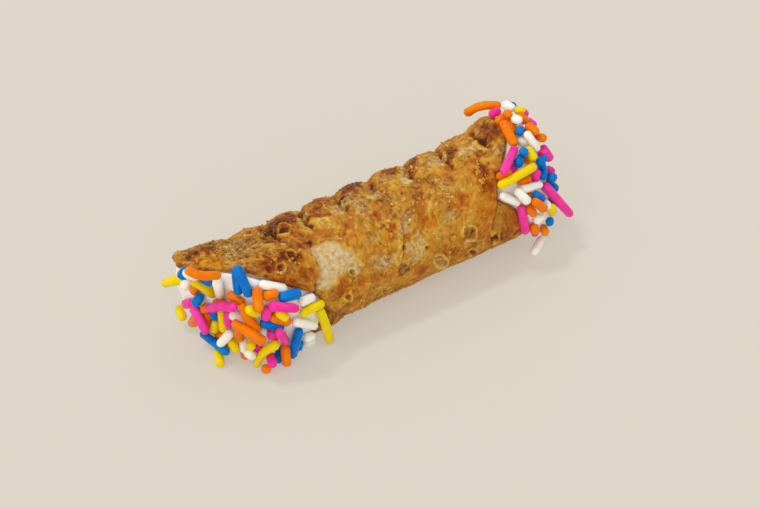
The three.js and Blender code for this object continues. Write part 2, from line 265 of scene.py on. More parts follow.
def hills(x, y, size, seed):
    """Smooth random heights in about -1..1 over a plane, with hills about size mm apart."""
    turns = np.random.default_rng(seed).uniform(0, 2 * np.pi, (128, 128))
    a, b = np.asarray(x) / size + 57.3, np.asarray(y) / size + 41.7
    i, j = np.floor(a).astype(int), np.floor(b).astype(int)
    f, g = a - i, b - j

    def slope(di, dj):
        turn = turns[(i + di) % 128, (j + dj) % 128]
        return np.cos(turn) * (f - di) + np.sin(turn) * (g - dj)

    u = f * f * f * (f * (f * 6 - 15) + 10)
    v = g * g * g * (g * (g * 6 - 15) + 10)
    low = mix(slope(0, 0), slope(1, 0), u)
    high = mix(slope(0, 1), slope(1, 1), u)
    return 1.6 * mix(low, high, v)


def mottle(x, y, size, seed, layers=3, fading=0.55):
    """Hills with smaller hills on them."""
    total, weight, height = 0.0, 0.0, 1.0
    for layer in range(layers):
        total = total + height * hills(x, y, size / 2 ** layer, seed + 31 * layer)
        weight += height
        height *= fading
    return total / weight * 1.35


def around(x, bearing, radius):
    """Points at a place along the roll, a bearing in degrees and a distance from its axis."""
    angle = np.radians(bearing)
    return np.stack([x + 0 * angle, radius * np.cos(angle), radius * np.sin(angle)], -1)


def into_frame(points):
    """From millimetres round the axis to the frame's metres."""
    return (points + ROLL_AXIS) * MM


def clear_selection():
    if bpy.context.object and bpy.context.object.mode != "OBJECT":
        bpy.ops.object.mode_set(mode="OBJECT")
    bpy.ops.object.select_all(action="DESELECT")


def coordinates(mesh):
    flat = np.empty(len(mesh.vertices) * 3)
    mesh.vertices.foreach_get("co", flat)
    return flat.reshape(-1, 3)


def set_coordinates(mesh, points):
    mesh.vertices.foreach_set("co", np.ascontiguousarray(points, float).ravel())
    mesh.update()


def write_attribute(mesh, name, values):
    layer = mesh.attributes.get(name) or mesh.attributes.new(name, "FLOAT", "POINT")
    layer.data.foreach_set("value", np.asarray(values, np.float32))


def finish_piece(piece, name, material, replaced):
    """Names a finished piece, gives it its material and puts it on the roll's body."""
    piece.name = name
    piece.data.name = name
    piece.data.materials.clear()
    piece.data.materials.append(material)
    clear_selection()
    piece.select_set(True)
    bpy.context.view_layer.objects.active = piece
    bpy.ops.object.shade_smooth()
    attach(piece, "root")
    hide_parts(*replaced)


# ---- Materials ----

def colour(tint):
    """An sRGB hex colour, or a linear red, green and blue, as linear red, green, blue and alpha."""
    if not isinstance(tint, str):
        return [*tint, 1.0]
    channels = [int(tint[i:i + 2], 16) / 255 for i in (1, 3, 5)]
    return [c / 12.92 if c <= 0.04045 else ((c + 0.055) / 1.055) ** 2.4 for c in channels] + [1.0]


def add_node(material, kind, settings=None, inputs=None, **links):
    """Adds a node; settings are its own properties, inputs are values or (node, output) by socket name."""
    tree = material.node_tree
    node = tree.nodes.new(kind)
    for name, value in (settings or {}).items():
        setattr(node, name, value)
    for name, value in {**(inputs or {}), **links}.items():
        if isinstance(value, tuple) and isinstance(value[0], bpy.types.Node):
            tree.links.new(value[0].outputs[value[1]], node.inputs[name])
        else:
            node.inputs[name].default_value = value
    return node


def new_material(name):
    """A material with a Principled shader joined to its output; both are returned."""
    material = bpy.data.materials.new(name)
    material.use_nodes = True
    material.node_tree.nodes.clear()
    shader = add_node(material, "ShaderNodeBsdfPrincipled")
    add_node(material, "ShaderNodeOutputMaterial", inputs={"Surface": (shader, "BSDF")})
    return material, shader


def set_ramp(node, stops):
    """Gives a colour ramp its (place, colour) stops."""
    elements = node.color_ramp.elements
    while len(elements) > 1:
        elements.remove(elements[-1])
    elements[0].position = stops[0][0]
    elements[0].color = colour(stops[0][1])
    for place, tint in stops[1:]:
        elements.new(place).color = colour(tint)


def fried_pastry(settings):
    """Wheat dough fried in oil: its sugars brown unevenly, glossy amber where oil stayed, pale where it is dry."""
    material, shader = new_material("fried_wheat_pastry")
    link = material.node_tree.links.new
    place = add_node(material, "ShaderNodeTexCoord")
    # The toast attribute holds the crust's browning together with the painted shade and light laid into it on the
    # sheet.
    toast = add_node(material, "ShaderNodeAttribute", {"attribute_name": "toast"})
    dry = add_node(material, "ShaderNodeAttribute", {"attribute_name": "dry"})
    # The crust is crisp: bubbles and crumbs of 0.3 to 1 mm roughen it all over, pale on top, brown between; as this
    # follows the bump's relief, it is partly painted light on the tops and painted shade between them.
    grit = add_node(material, "ShaderNodeTexNoise", inputs={
        "Vector": (place, "Object"), "Scale": 1 / (0.95 * MM), "Detail": 5.0, "Roughness": 0.66})
    bubbles = add_node(material, "ShaderNodeTexVoronoi", {"feature": "SMOOTH_F1"}, {
        "Vector": (place, "Object"), "Scale": 1 / (0.85 * MM), "Randomness": 1.0})
    relief = add_node(material, "ShaderNodeMath", {"operation": "MULTIPLY_ADD"})
    link(bubbles.outputs["Distance"], relief.inputs[0])
    relief.inputs[1].default_value = -0.3
    link(grit.outputs["Fac"], relief.inputs[2])
    speck = add_node(material, "ShaderNodeMapRange", inputs={
        "Value": (relief, "Value"), "From Min": 0.15, "From Max": 0.6, "To Min": SPECKS, "To Max": -SPECKS})
    crisp = add_node(material, "ShaderNodeMapRange", inputs={
        "Value": (dry, "Fac"), "From Min": 0.1, "From Max": 0.65, "To Min": 0.3, "To Max": 1.0})
    browning = add_node(material, "ShaderNodeMath", {"operation": "MULTIPLY_ADD", "use_clamp": True})
    link(speck.outputs["Result"], browning.inputs[0])
    link(crisp.outputs["Result"], browning.inputs[1])
    # Pin-sized bubbles, each a pale or a dark dot.
    dots = add_node(material, "ShaderNodeTexVoronoi", inputs={
        "Vector": (place, "Object"), "Scale": 1 / (1.5 * MM), "Randomness": 1.0})
    dot = add_node(material, "ShaderNodeMapRange", inputs={
        "Value": (dots, "Distance"), "From Min": 0.1, "From Max": 0.22, "To Min": 1.0, "To Max": 0.0})
    shade = add_node(material, "ShaderNodeMapRange", inputs={
        "Value": (dots, "Color"), "From Min": 0.2, "From Max": 0.8, "To Min": -DOTS, "To Max": DOTS})
    dotted = add_node(material, "ShaderNodeMath", {"operation": "MULTIPLY_ADD"})
    link(dot.outputs["Result"], dotted.inputs[0])
    link(shade.outputs["Result"], dotted.inputs[1])
    link(toast.outputs["Fac"], dotted.inputs[2])
    link(dotted.outputs["Value"], browning.inputs[2])
    # Dryness wanders too, so amber and straw-coloured skin mingle.
    stain = add_node(material, "ShaderNodeTexNoise", inputs={
        "Vector": (place, "Object"), "Scale": 1 / (2.4 * MM), "Detail": 2.0, "Roughness": 0.5})
    stain_shift = add_node(material, "ShaderNodeMapRange", inputs={
        "Value": (stain, "Fac"), "From Min": 0.3, "From Max": 0.7, "To Min": -STAINS, "To Max": STAINS})
    dryness = add_node(material, "ShaderNodeMath", {"operation": "ADD", "use_clamp": True})
    link(dry.outputs["Fac"], dryness.inputs[0])
    link(stain_shift.outputs["Result"], dryness.inputs[1])
    skins = []
    for stops in (AMBER_STOPS, GOLDEN_STOPS, FLOURY_STOPS):
        skin = add_node(material, "ShaderNodeValToRGB", inputs={"Fac": (browning, "Value")})
        set_ramp(skin, stops)
        skins.append(skin)
    mixed = skins[0].outputs["Color"]
    for low, skin in ((0.0, skins[1]), (0.5, skins[2])):
        share = add_node(material, "ShaderNodeMapRange", inputs={
            "Value": (dryness, "Value"), "From Min": low, "From Max": low + 0.5})
        both = add_node(material, "ShaderNodeMix", {"data_type": "RGBA"})
        link(share.outputs["Result"], both.inputs[0])
        link(mixed, both.inputs[6])
        link(skin.outputs["Color"], both.inputs[7])
        mixed = both.outputs[2]
    link(mixed, shader.inputs["Base Color"])
    gloss = add_node(material, "ShaderNodeMapRange", inputs={
        "Value": (dryness, "Value"), "From Max": 0.7, "To Min": 0.36, "To Max": 0.8})
    link(gloss.outputs["Result"], shader.inputs["Roughness"])
    bump = add_node(material, "ShaderNodeBump", inputs={
        "Strength": (crisp, "Result"), "Distance": 0.48 * MM, "Height": (relief, "Value")})
    link(bump.outputs["Normal"], shader.inputs["Normal"])
    shader.inputs["Subsurface Weight"].default_value = 0.06
    shader.inputs["Subsurface Radius"].default_value = (0.6, 0.3, 0.1)
    shader.inputs["Subsurface Scale"].default_value = 0.8 * MM
    shader.inputs["Specular IOR Level"].default_value = 0.12
    return material


# The specks are partly painted light on the bump tops and painted shade in the hollows between them.
SPECKS = 0.2  # how much the finest specks change the browning
DOTS = 0.3  # how much the pin-sized bubbles change it
STAINS = 0.06  # and how much the stains change the dryness
AMBER_STOPS = (
    (0.0, "#E6B550"), (0.2, "#DCA22E"), (0.4, "#CB8614"), (0.55, "#BA6B10"), (0.7, "#A04F0F"), (0.85, "#7B370F"),
    (1.0, "#4C220C"),
)
GOLDEN_STOPS = (
    (0.0, "#E8C87C"), (0.2, "#DCB054"), (0.4, "#CA9537"), (0.55, "#B67A28"), (0.7, "#9A5E1E"), (0.85, "#744016"),
    (1.0, "#4C2512"),
)
FLOURY_STOPS = (
    (0.0, "#E0CBA0"), (0.2, "#CFAD76"), (0.4, "#BD8F50"), (0.55, "#AA783F"), (0.7, "#905F2F"), (0.85, "#6F4121"),
    (1.0, "#462916"),
)


CREAM_SHADE = (0.98, 0.97, 0.93)  # where the cream is a little denser, as a share of its colour


def whipped_cream(settings):
    """Whipped cream: fat and air scatter light, so it is matte white with soft, slightly warm shadows."""
    material, shader = new_material("whipped_cream")
    place = add_node(material, "ShaderNodeTexCoord")
    tint = add_node(material, "ShaderNodeTexNoise", inputs={
        "Vector": (place, "Object"), "Scale": 1 / (5 * MM), "Detail": 2.0})
    ramp = add_node(material, "ShaderNodeValToRGB", inputs={"Fac": (tint, "Fac")})
    white = np.array(settings.cream_colour)
    set_ramp(ramp, ((0.3, white * CREAM_SHADE), (0.7, white)))
    material.node_tree.links.new(ramp.outputs["Color"], shader.inputs["Base Color"])
    fluff = add_node(material, "ShaderNodeTexNoise", inputs={
        "Vector": (place, "Object"), "Scale": 1 / (0.9 * MM), "Detail": 3.0})
    bump = add_node(material, "ShaderNodeBump", inputs={
        "Strength": 0.25, "Distance": 0.15 * MM, "Height": (fluff, "Fac")})
    material.node_tree.links.new(bump.outputs["Normal"], shader.inputs["Normal"])
    shader.inputs["Roughness"].default_value = 0.55
    shader.inputs["Subsurface Weight"].default_value = 0.35
    shader.inputs["Subsurface Radius"].default_value = (1.0, 0.95, 0.9)
    shader.inputs["Subsurface Scale"].default_value = 1.6 * MM
    return material


def sugar_sprinkle(name, full):
    """Extruded sugar paste with a confectioner's glaze: strong flat colour under a thin satin coat."""
    material, shader = new_material(name)
    place = add_node(material, "ShaderNodeTexCoord")
    # Dye takes unevenly, in patches of about a sprinkle's thickness.
    dye = add_node(material, "ShaderNodeTexNoise", inputs={
        "Vector": (place, "Object"), "Scale": 1 / (2.2 * MM), "Detail": 2.0})
    ramp = add_node(material, "ShaderNodeValToRGB", inputs={"Fac": (dye, "Fac")})
    set_ramp(ramp, ((0.3, np.array(full) ** PALE_DYE), (0.62, full)))
    material.node_tree.links.new(ramp.outputs["Color"], shader.inputs["Base Color"])
    pits = add_node(material, "ShaderNodeTexNoise", inputs={
        "Vector": (place, "Object"), "Scale": 1 / (0.6 * MM), "Detail": 2.0})
    bump = add_node(material, "ShaderNodeBump", inputs={
        "Strength": 0.12, "Distance": 0.1 * MM, "Height": (pits, "Fac")})
    material.node_tree.links.new(bump.outputs["Normal"], shader.inputs["Normal"])
    shader.inputs["Roughness"].default_value = 0.13
    shader.inputs["Specular IOR Level"].default_value = 0.12
    shader.inputs["Subsurface Weight"].default_value = 0.15
    shader.inputs["Subsurface Radius"].default_value = (0.7, 0.5, 0.4)
    shader.inputs["Subsurface Scale"].default_value = 0.5 * MM
    return material


PALE_DYE = 0.8  # the power that a glaze's colour is raised to where the dye is thin


# ---- The shell ----

left_rim = through(LEFT_RIM)
right_rim = through(RIGHT_RIM)
top_radius = through(TOP_RADIUS)


def cells(x, s, width, length, seed):
    """A random value in -1..1 for each of many uneven plates, width by length mm."""
    jitter = np.random.default_rng(seed).uniform(0, 1, (64, 64, 3))
    a, b = x / width + 40.3, s / length + 40.7
    i, j = np.floor(a).astype(int), np.floor(b).astype(int)
    nearest = np.full(x.shape, 1e9)
    value = np.zeros(x.shape)
    for di in (-1, 0, 1):
        for dj in (-1, 0, 1):
            own = jitter[(i + di) % 64, (j + dj) % 64]
            distance = (a - i - di - own[..., 0]) ** 2 + (b - j - dj - own[..., 1]) ** 2
            value = np.where(distance < nearest, 2 * own[..., 2] - 1, value)
            nearest = np.minimum(nearest, distance)
    return value


def blur(field, reach):
    """Softens a grid of values over a reach in cells."""
    for axis in (0, 1):
        for _ in range(2):
            padded = np.concatenate([
                np.repeat(np.take(field, [0], axis), reach + 1, axis), field,
                np.repeat(np.take(field, [-1], axis), reach, axis)], axis)
            total = np.cumsum(padded, axis)
            count = field.shape[axis]
            upper = np.take(total, np.arange(2 * reach + 1, 2 * reach + 1 + count), axis)
            lower = np.take(total, np.arange(0, count), axis)
            field = (upper - lower) / (2 * reach + 1)
    return field


def spots(x, s, places, shape):
    """The strongest of many small features over the sheet. places are (x, s, radius, amount)."""
    out = np.zeros_like(x)
    row_x, column_s = x.mean(0), s[:, 0]
    for cx, cs, radius, amount in places:
        rows = np.flatnonzero(np.abs(column_s - cs) < 1.8 * radius)
        columns = np.flatnonzero(np.abs(row_x - cx) < 1.8 * radius + 12)
        if len(rows) == 0 or len(columns) == 0:
            continue
        part = np.ix_(rows, columns)
        distance = np.hypot(x[part] - cx, s[part] - cs) / radius
        out[part] = np.maximum(out[part], amount * shape(distance))
    return out


def dome(distance):
    return np.clip(1 - distance ** 2, 0, 1) ** 1.3


def scatter(seed, count, sizes, density):
    """Random (x, s, radius, strength) places on the sheet; density(x, s) in 0..1 thins them."""
    rng = np.random.default_rng(seed)
    x = rng.uniform(-43, 41, count)
    s = rng.uniform(arc(TUCKED_END), arc(FLAP_END), count)
    radius = np.exp(rng.uniform(math.log(sizes[0]), math.log(sizes[1]), count))
    keep = rng.uniform(0, 1, count) < density(x, s)
    return list(zip(x[keep], s[keep], radius[keep], rng.uniform(0.5, 1, count)[keep]))


def edge_distance(px, py, corners, closed=False):
    """Distance to a line through corners, and its side: 1 on the right of one who walks it, or inside it."""
    corners = np.array(corners, float)
    following = np.roll(corners, -1, 0) if closed else corners[1:]
    nearest = np.full(px.shape, 1e9)
    side = np.full(px.shape, -1.0)
    for (ax, ay), (bx, by) in zip(corners, following):
        dx, dy = bx - ax, by - ay
        t = np.clip(((px - ax) * dx + (py - ay) * dy) / (dx * dx + dy * dy), 0, 1)
        distance = np.hypot(px - ax - t * dx, py - ay - t * dy)
        if closed:
            crossed = ((ay > py) != (by > py)) & (px < ax + (py - ay) * dx / (dy or 1))
            side = np.where(crossed, -side, side)
        else:
            side = np.where(distance < nearest, np.sign((py - ay) * dx - (px - ax) * dy), side)
        nearest = np.minimum(nearest, distance)
    return nearest, side


def over_top(wrap):
    """Where the roll is drawn in along its top: 1 there, 0 elsewhere."""
    return ease(-35, 25, wrap) * (1 - ease(78, 128, wrap))


def skin_radius(x, wrap):
    """How far the skin lies from the axis, flap and puffs apart."""
    return ROLL_RADIUS + over_top(wrap) * (top_radius(x) - ROLL_RADIUS)


def billows(x, s, size, seed, layers=3):
    """Rounded lumps with sharp creases between them, in about -1..1."""
    total, weight, height = 0.0, 0.0, 1.0
    for layer in range(layers):
        total = total + height * (3.0 * np.abs(hills(x, s, size / 1.9 ** layer, seed + 17 * layer)) - 1.0)
        weight += height
        height *= 0.6
    return total / weight


def terraces(field, step):
    """Turns a smooth field into flat steps, with the share of the way down each step's edge."""
    level = field / step
    floor = np.floor(level)
    return (floor + ease(0.4, 0.6, level - floor)) * step, level - floor


class Sheet:
    """The rolled, risen and browned sheet as grids of values: rows along the wrap, columns across it."""

    def __init__(self, cells_across, settings):
        share = np.linspace(0, 1, cells_across + 1)
        rows = np.interp(share, *zip(*ROW_STATIONS))
        self.wrap, across = np.meshgrid(rows, share, indexing="ij")
        self.s = arc(self.wrap)
        self.left = left_rim(self.wrap) + rough_edge(self.s, 71)
        self.right = right_rim(self.wrap) + rough_edge(self.s, 81)
        self.x = mix(self.left, self.right, across)
        x, s = self.x, self.s
        self.wx = x + 0.7 * hills(x, s, 3.1, 11) + 0.3 * hills(x, s, 1.1, 12)
        self.ws = s + 0.7 * hills(x, s, 3.3, 13) + 0.3 * hills(x, s, 1.2, 14)
        bearing = np.mod(self.wrap, 360)
        climb = (SHEET + SEAM_GAP) * ease(*FLAP_RISE, self.wrap) + self.lips()
        self.base = skin_radius(x, self.wrap) + climb
        self.height = np.zeros_like(x)
        # This browning field also takes painted shade in creases, pits, hollows and at step bases, and painted light
        # on crests.
        self.toast = np.full_like(x, BASE_BROWNING + settings.browning)
        self.dry = np.full_like(x, 0.39)
        place = around(x, bearing, self.base)
        towards = EYE - place
        outwards = around(0 * x, bearing, 1.0)
        facing = (towards * outwards).sum(-1) / np.linalg.norm(towards, axis=-1)
        uncovered = (self.wrap > -100) | (x < left_rim(bearing)) | (x > right_rim(bearing))
        self.seen = ease(0.0, 0.16, facing) * uncovered
        away = place - EYE
        depth = -away @ BACK
        self.px = PICTURE[0] / 2 + FOCUS * (away @ RIGHT) / depth
        self.py = PICTURE[1] / 2 - FOCUS * (away @ UP) / depth
        self.stray = 2.6 * hills(x, s, 2.9, 15) + 1.6 * hills(x, s, 1.3, 16) + 0.9 * hills(x, s, 0.7, 17)

    def lips(self):
        """At the lower front, the layer under the flap springs outwards where the flap leaves it bare."""
        bearing = np.mod(self.wrap, 360)
        under = (self.wrap < 0) * ease(186, 206, bearing) * (1 - ease(238, 262, bearing))
        flap_left, flap_right = left_rim(bearing), right_rim(bearing)
        at_left = LIPS["left"] * ease(0.1, 3.2, flap_left - self.x)
        at_right = LIPS["right"] * ease(-0.2, 2.4, self.x - flap_right)
        return under * (at_left + at_right)

    def rise(self):
        self.browning()
        self.swells()
        self.ruffles()
        self.lumps()
        self.plates()
        self.blisters()
        self.broken_skin()
        self.crevices()
        return self

    def browning(self):
        """Broad changes of browning and dryness, then those that the camera's view shows."""
        x, s = self.x, self.s
        unseen = 1 - 0.55 * self.seen
        self.toast += unseen * 0.15 * mottle(x, s, 8.0, 24, 2) + 0.07 * mottle(self.wx, self.ws, 3.0, 26, 2)
        self.dry += unseen * 0.5 * mottle(self.wx, self.ws, 6.0, 27, 3) + 0.08 * mottle(self.wx, self.ws, 3.8, 29, 1)
        px, py = self.px + self.stray, self.py + np.roll(self.stray, 9, 0)
        for cx, cy, across, down, tilt, toast, dry in PATCHES:
            turn = math.radians(tilt)
            a = (px - cx) * math.cos(turn) + (py - cy) * math.sin(turn)
            b = (py - cy) * math.cos(turn) - (px - cx) * math.sin(turn)
            inside = self.seen * (1 - ease(0.6, 1.2, np.hypot(a / across, b / down)))
            self.toast += toast * inside
            self.dry += dry * inside
        on_top = ease(5, 35, self.wrap) * (1 - ease(88, 112, self.wrap))
        self.sandy = ease(-14, -25, x) * ease(40, 85, self.wrap)
        wild = 0.06 + 0.45 * ease(0.3, 0.85, self.dry) + 0.35 * on_top + 0.4 * self.sandy
        self.rough = np.clip(wild + 0.25 * mottle(x, s, 6.0, 28, 2), 0.05, 1)

    def swells(self):
        self.height += 0.22 * mottle(self.x, self.s, 9.0, 21, 2) + 0.1 * mottle(self.wx, self.ws, 3.8, 22, 2)

    def ruffles(self):
        """Puffs of risen dough along the top, parted by creases that run round the roll, with painted shade in the
        creases and down each puff's left flank.
        """
        top = ease(12, 40, self.wrap) * (1 - ease(92, 118, self.wrap))
        behind = 0.5 * ease(-80, -40, self.wrap) * (1 - ease(0, 30, self.wrap))
        share = np.maximum(top, behind) * mix(0.25, 1, ease(-31, -23, self.x))
        at = mix(np.interp(self.x, CREASES_AT_TOP, CREASES), self.x, ease(HIGH_END, LOW_END, self.wrap))
        at += 0.6 * hills(self.x, self.s, 3.5, 31) + 0.3 * hills(self.x, self.s, 1.2, 32)
        i = np.clip(np.searchsorted(CREASES, at) - 1, 0, len(CREASES) - 2)
        t = np.clip((at - CREASES[i]) / (CREASES[i + 1] - CREASES[i]), 0, 1)
        puff = np.sin(np.pi * t ** 0.8) ** 0.6
        to_crease = np.minimum(at - CREASES[i], CREASES[i + 1] - at)
        low_end = np.exp(-((self.wrap - 88) / 15) ** 2)
        crease = np.exp(-(to_crease / 0.55) ** 2)
        self.height += share * (1.85 * (puff - 0.68) - 0.1 * low_end * crease)
        # Painted shade: the browning is darker in the creases between the puffs and down each puff's left flank.
        self.toast += share * (0.1 * low_end * crease + 0.08 * ease(0.5, 0.0, puff) + 0.06 * ease(0.45, 0.0, t))

    def lumps(self):
        """Small bubbles crowd the skin, most where it is dry and along the top."""
        coarse = billows(self.wx, self.ws, 2.7, 61, 2)
        fine = billows(self.wx + 0.3 * coarse, self.ws, 1.25, 62, 2)
        coarse = coarse * (1 - 0.6 * self.sandy)
        self.height += mix(0.02, 0.2, self.rough) * coarse + mix(0.005, 0.12, self.rough) * fine
        # Bubble tops are made paler and the creases between them browner: partly the crust's own tone, partly
        # painted light and shade on the bubbles.
        self.toast -= mix(0.02, 0.05, self.rough) * coarse + mix(0.015, 0.09, self.rough) * fine

    def plates(self):
        """Plates of outer skin, each browned by itself, and the steps where thin layers have torn, with painted
        shade along the base of each step.
        """
        large = cells(self.wx, self.ws, 2.6, 3.2, 33)
        mid = cells(self.wx, self.ws, 1.3, 1.6, 34)
        small = cells(self.wx, self.ws, 0.65, 0.75, 35)
        self.toast += 0.05 * large + 0.055 * mid + 0.045 * small
        self.dry += 0.1 * large + 0.03 * mid
        self.height += self.rough * (0.05 * large + 0.05 * mid + 0.03 * small)
        field = mottle(self.wx, self.ws, 5.6, 51, 2) + 0.1 * hills(self.x, self.s, 0.8, 52)
        steps, down = terraces(field, 0.5)
        self.height += 0.4 * (steps - field)
        rim = np.exp(-((down - 0.62) / 0.07) ** 2)
        step_base_shade = np.exp(-((down - 0.38) / 0.07) ** 2)
        patchy = ease(-0.3, 0.4, mottle(self.x, self.s, 7.0, 53, 1))
        # Painted shade along the base of each torn step, and a paler lip along its top edge.
        self.toast += patchy * mix(0.4, 1, self.rough) * (0.14 * step_base_shade - 0.17 * rim)

    def blisters(self):
        x, s = self.wx, self.ws
        upper = lambda px, ps: 0.3 + 0.5 * ease(arc(-60), arc(30), ps)
        big = scatter(41, 120, (0.9, 2.0), upper)
        beads = scatter(42, 1500, (0.35, 0.75), lambda px, ps: np.clip(0.35 + 0.9 * hills(px, ps, 7, 43), 0.05, 1))
        domes = spots(x, s, [(a, b, r, h * 0.24 * r) for a, b, r, h in big], dome)
        small = spots(x, s, [(a, b, r, h * 0.35 * r) for a, b, r, h in beads], dome)
        self.height += domes + small
        self.toast -= 0.06 * ease(0.1, 0.4, domes) + 0.12 * ease(0.06, 0.24, small)

    def broken_skin(self):
        """The flaked patch, torn edges, burst blisters and pits, where the camera's view shows them."""
        px, py = self.px + 0.45 * self.stray, self.py + 0.45 * np.roll(self.stray, 9, 0)
        self.flaked_patch(px, py)
        for strength, *line in TORN_EDGES:
            self.tear(px, py, strength, line)
        for row in CRATERS:
            self.crater(px, py, *row)
        for cx, cy, radius in PITS:
            pit_shade = self.seen * np.exp(-(np.hypot(self.px - cx, self.py - cy) / radius) ** 2)
            # Each hole is sunk a little and darkened; the darker colour is painted shade in the hollow.
            self.height -= 0.3 * pit_shade
            self.toast += 0.3 * pit_shade

    def flaked_patch(self, px, py):
        away, side = edge_distance(px, py, FLAKED_PATCH, closed=True)
        away = away * side
        sharp = ease(336, 322, self.px)
        bare = self.seen * ease(mix(-2.5, -0.6, sharp), mix(4.5, 0.8, sharp), away)
        self.height -= bare * (0.3 + 0.5 * self.height)
        self.toast = mix(self.toast, FLAKED_BROWNING + 0.2 * (self.toast - BASE_BROWNING), bare)
        self.dry = mix(self.dry, 0.95, bare)

    def tear(self, px, py, strength, line):
        """A torn edge of skin: raised and pale on the line's right, shaded on its left."""
        away, side = edge_distance(px, py, line)
        climb = ease(-1.5, 0.8, away * side) * (1 - ease(2, 9, away))
        self.height += 0.34 * strength * self.seen * climb
        self.toast -= 0.2 * strength * self.seen * (side > 0) * np.exp(-(away / 1.4) ** 2)
        self.toast += 0.24 * strength * self.seen * (side < 0) * np.exp(-(away / 1.6) ** 2)

    def crater(self, px, py, cx, cy, radius, corners, browner):
        """A burst blister: a sunken browner floor in a pale raised ring, with a thin band of painted shade just
        inside the ring.
        """
        away = (np.abs(px - cx) ** corners + np.abs(py - cy) ** corners) ** (1 / corners) / radius
        floor = self.seen * (1 - ease(0.4, 0.8, away))
        ring = self.seen * np.exp(-((away - 1.0) * radius / 1.05) ** 2)
        self.height += 0.28 * ring - 0.3 * floor
        # The thin darker band just inside the ring is painted shade at the base of the ring's wall.
        self.toast += browner * floor - 0.24 * ring + 0.12 * self.seen * np.exp(-((away - 0.76) / 0.1) ** 2)
        self.dry += 0.3 * floor

    def crevices(self):
        """Hollows are painted darker and crests paler: partly browning where oil stays, partly painted shade in the
        hollows and painted light on the crests.
        """
        narrow = blur(self.height, 2) - self.height
        wide = blur(self.height, 6) - self.height
        self.toast += 0.42 * np.clip(narrow, -0.2, 0.3) + 0.14 * np.clip(wide, -0.4, 0.4)
        self.dry = np.clip(self.dry, 0, 1)


def rough_edge(s, seed):
    """How a fried rim strays along its length, in mm."""
    return 0.3 * hills(s, 0 * s, 3.3, seed) + 0.2 * hills(s, 5 + 0 * s, 1.2, seed + 1)


def roll_up(sheet, u, v, depth):
    """Points of the rolled sheet. u and v are shares of its grid, depth runs from the outside to the inside."""
    cells_across = len(sheet.x) - 1
    at = (np.rint(v * cells_across).astype(int), np.rint(u * cells_across).astype(int))
    x, wrap, left, right = (grid[at] for grid in (sheet.x, sheet.wrap, sheet.left, sheet.right))
    edge = np.minimum(np.minimum(x - left, right - x), arc(FLAP_END) - arc(wrap))
    uncovered = ease(-118, -100, wrap)
    bearing = np.mod(wrap, 360)
    from_flap = np.maximum(left_rim(bearing) - x, x - right_rim(bearing))
    bare = np.maximum(uncovered, ease(-0.5, 1.0, from_flap))
    settle = 1 - 0.6 * np.exp(-((bearing - 270) / 30) ** 2)
    height = sheet.height[at] * bare * settle * mix(0.5, 1, ease(0, 1.6, edge))
    rounding = 0.35 * np.clip(1 - edge / 0.5, 0, 1) ** 2
    outside = sheet.base[at] + height - rounding
    inside = sheet.base[at] - SHEET + rounding + 0.12 * hills(x, arc(wrap), 1.5, 91)
    radius = mix(outside, np.minimum(inside, outside - 0.5), depth)
    bulge = 0.25 * np.sin(np.pi * np.clip(depth, 0, 1)) * (edge < 0.02)
    x = x + bulge * np.where(u < 0.001, -1, np.where(u > 0.999, 1, 0))
    points = around(x, wrap + np.degrees(bulge * (v > 0.999) / ROLL_RADIUS), radius)
    points[..., 2] = np.maximum(points[..., 2], FLOOR + 0.02 + 0.6 * depth)
    toast = sheet.toast[at] + 0.14 * np.exp(-(edge / 0.6) ** 2) - 0.15 * depth
    return points, np.clip(toast, 0, 1), np.clip(sheet.dry[at] + 0.25 * depth, 0, 1)


def build_shell(settings):
    """A sheet of dough: a grid with thickness, its outside and rims divided finely, then rolled up."""
    clear_selection()
    count = settings.shell_divisions
    bpy.ops.mesh.primitive_grid_add(x_subdivisions=count, y_subdivisions=count, size=1.0)
    piece = bpy.context.object
    solidify = piece.modifiers.new("Thickness", "SOLIDIFY")
    solidify.thickness = 0.01
    solidify.offset = -1
    bpy.ops.object.modifier_apply(modifier=solidify.name)
    bpy.ops.object.mode_set(mode="EDIT")
    bpy.ops.mesh.select_mode(type="FACE")
    bpy.ops.mesh.select_all(action="DESELECT")
    bpy.ops.object.mode_set(mode="OBJECT")
    for face in piece.data.polygons:
        face.select = face.normal.z > -0.5
    bpy.ops.object.mode_set(mode="EDIT")
    bpy.ops.mesh.subdivide(number_cuts=3)
    bpy.ops.object.mode_set(mode="OBJECT")
    flat = coordinates(piece.data)
    depth = np.clip(-flat[:, 2] / 0.01, 0, 1)
    sheet = Sheet(4 * count, settings).rise()
    points, toast, dry = roll_up(sheet, flat[:, 0] + 0.5, 0.5 - flat[:, 1], depth)
    set_coordinates(piece.data, into_frame(points))
    write_attribute(piece.data, "toast", toast)
    write_attribute(piece.data, "dry", dry)
    pastry = fried_pastry(settings)
    finish_piece(piece, "pastry_roll", pastry, ["pastry_shell"])
    build_crumbs(settings, sheet, pastry)


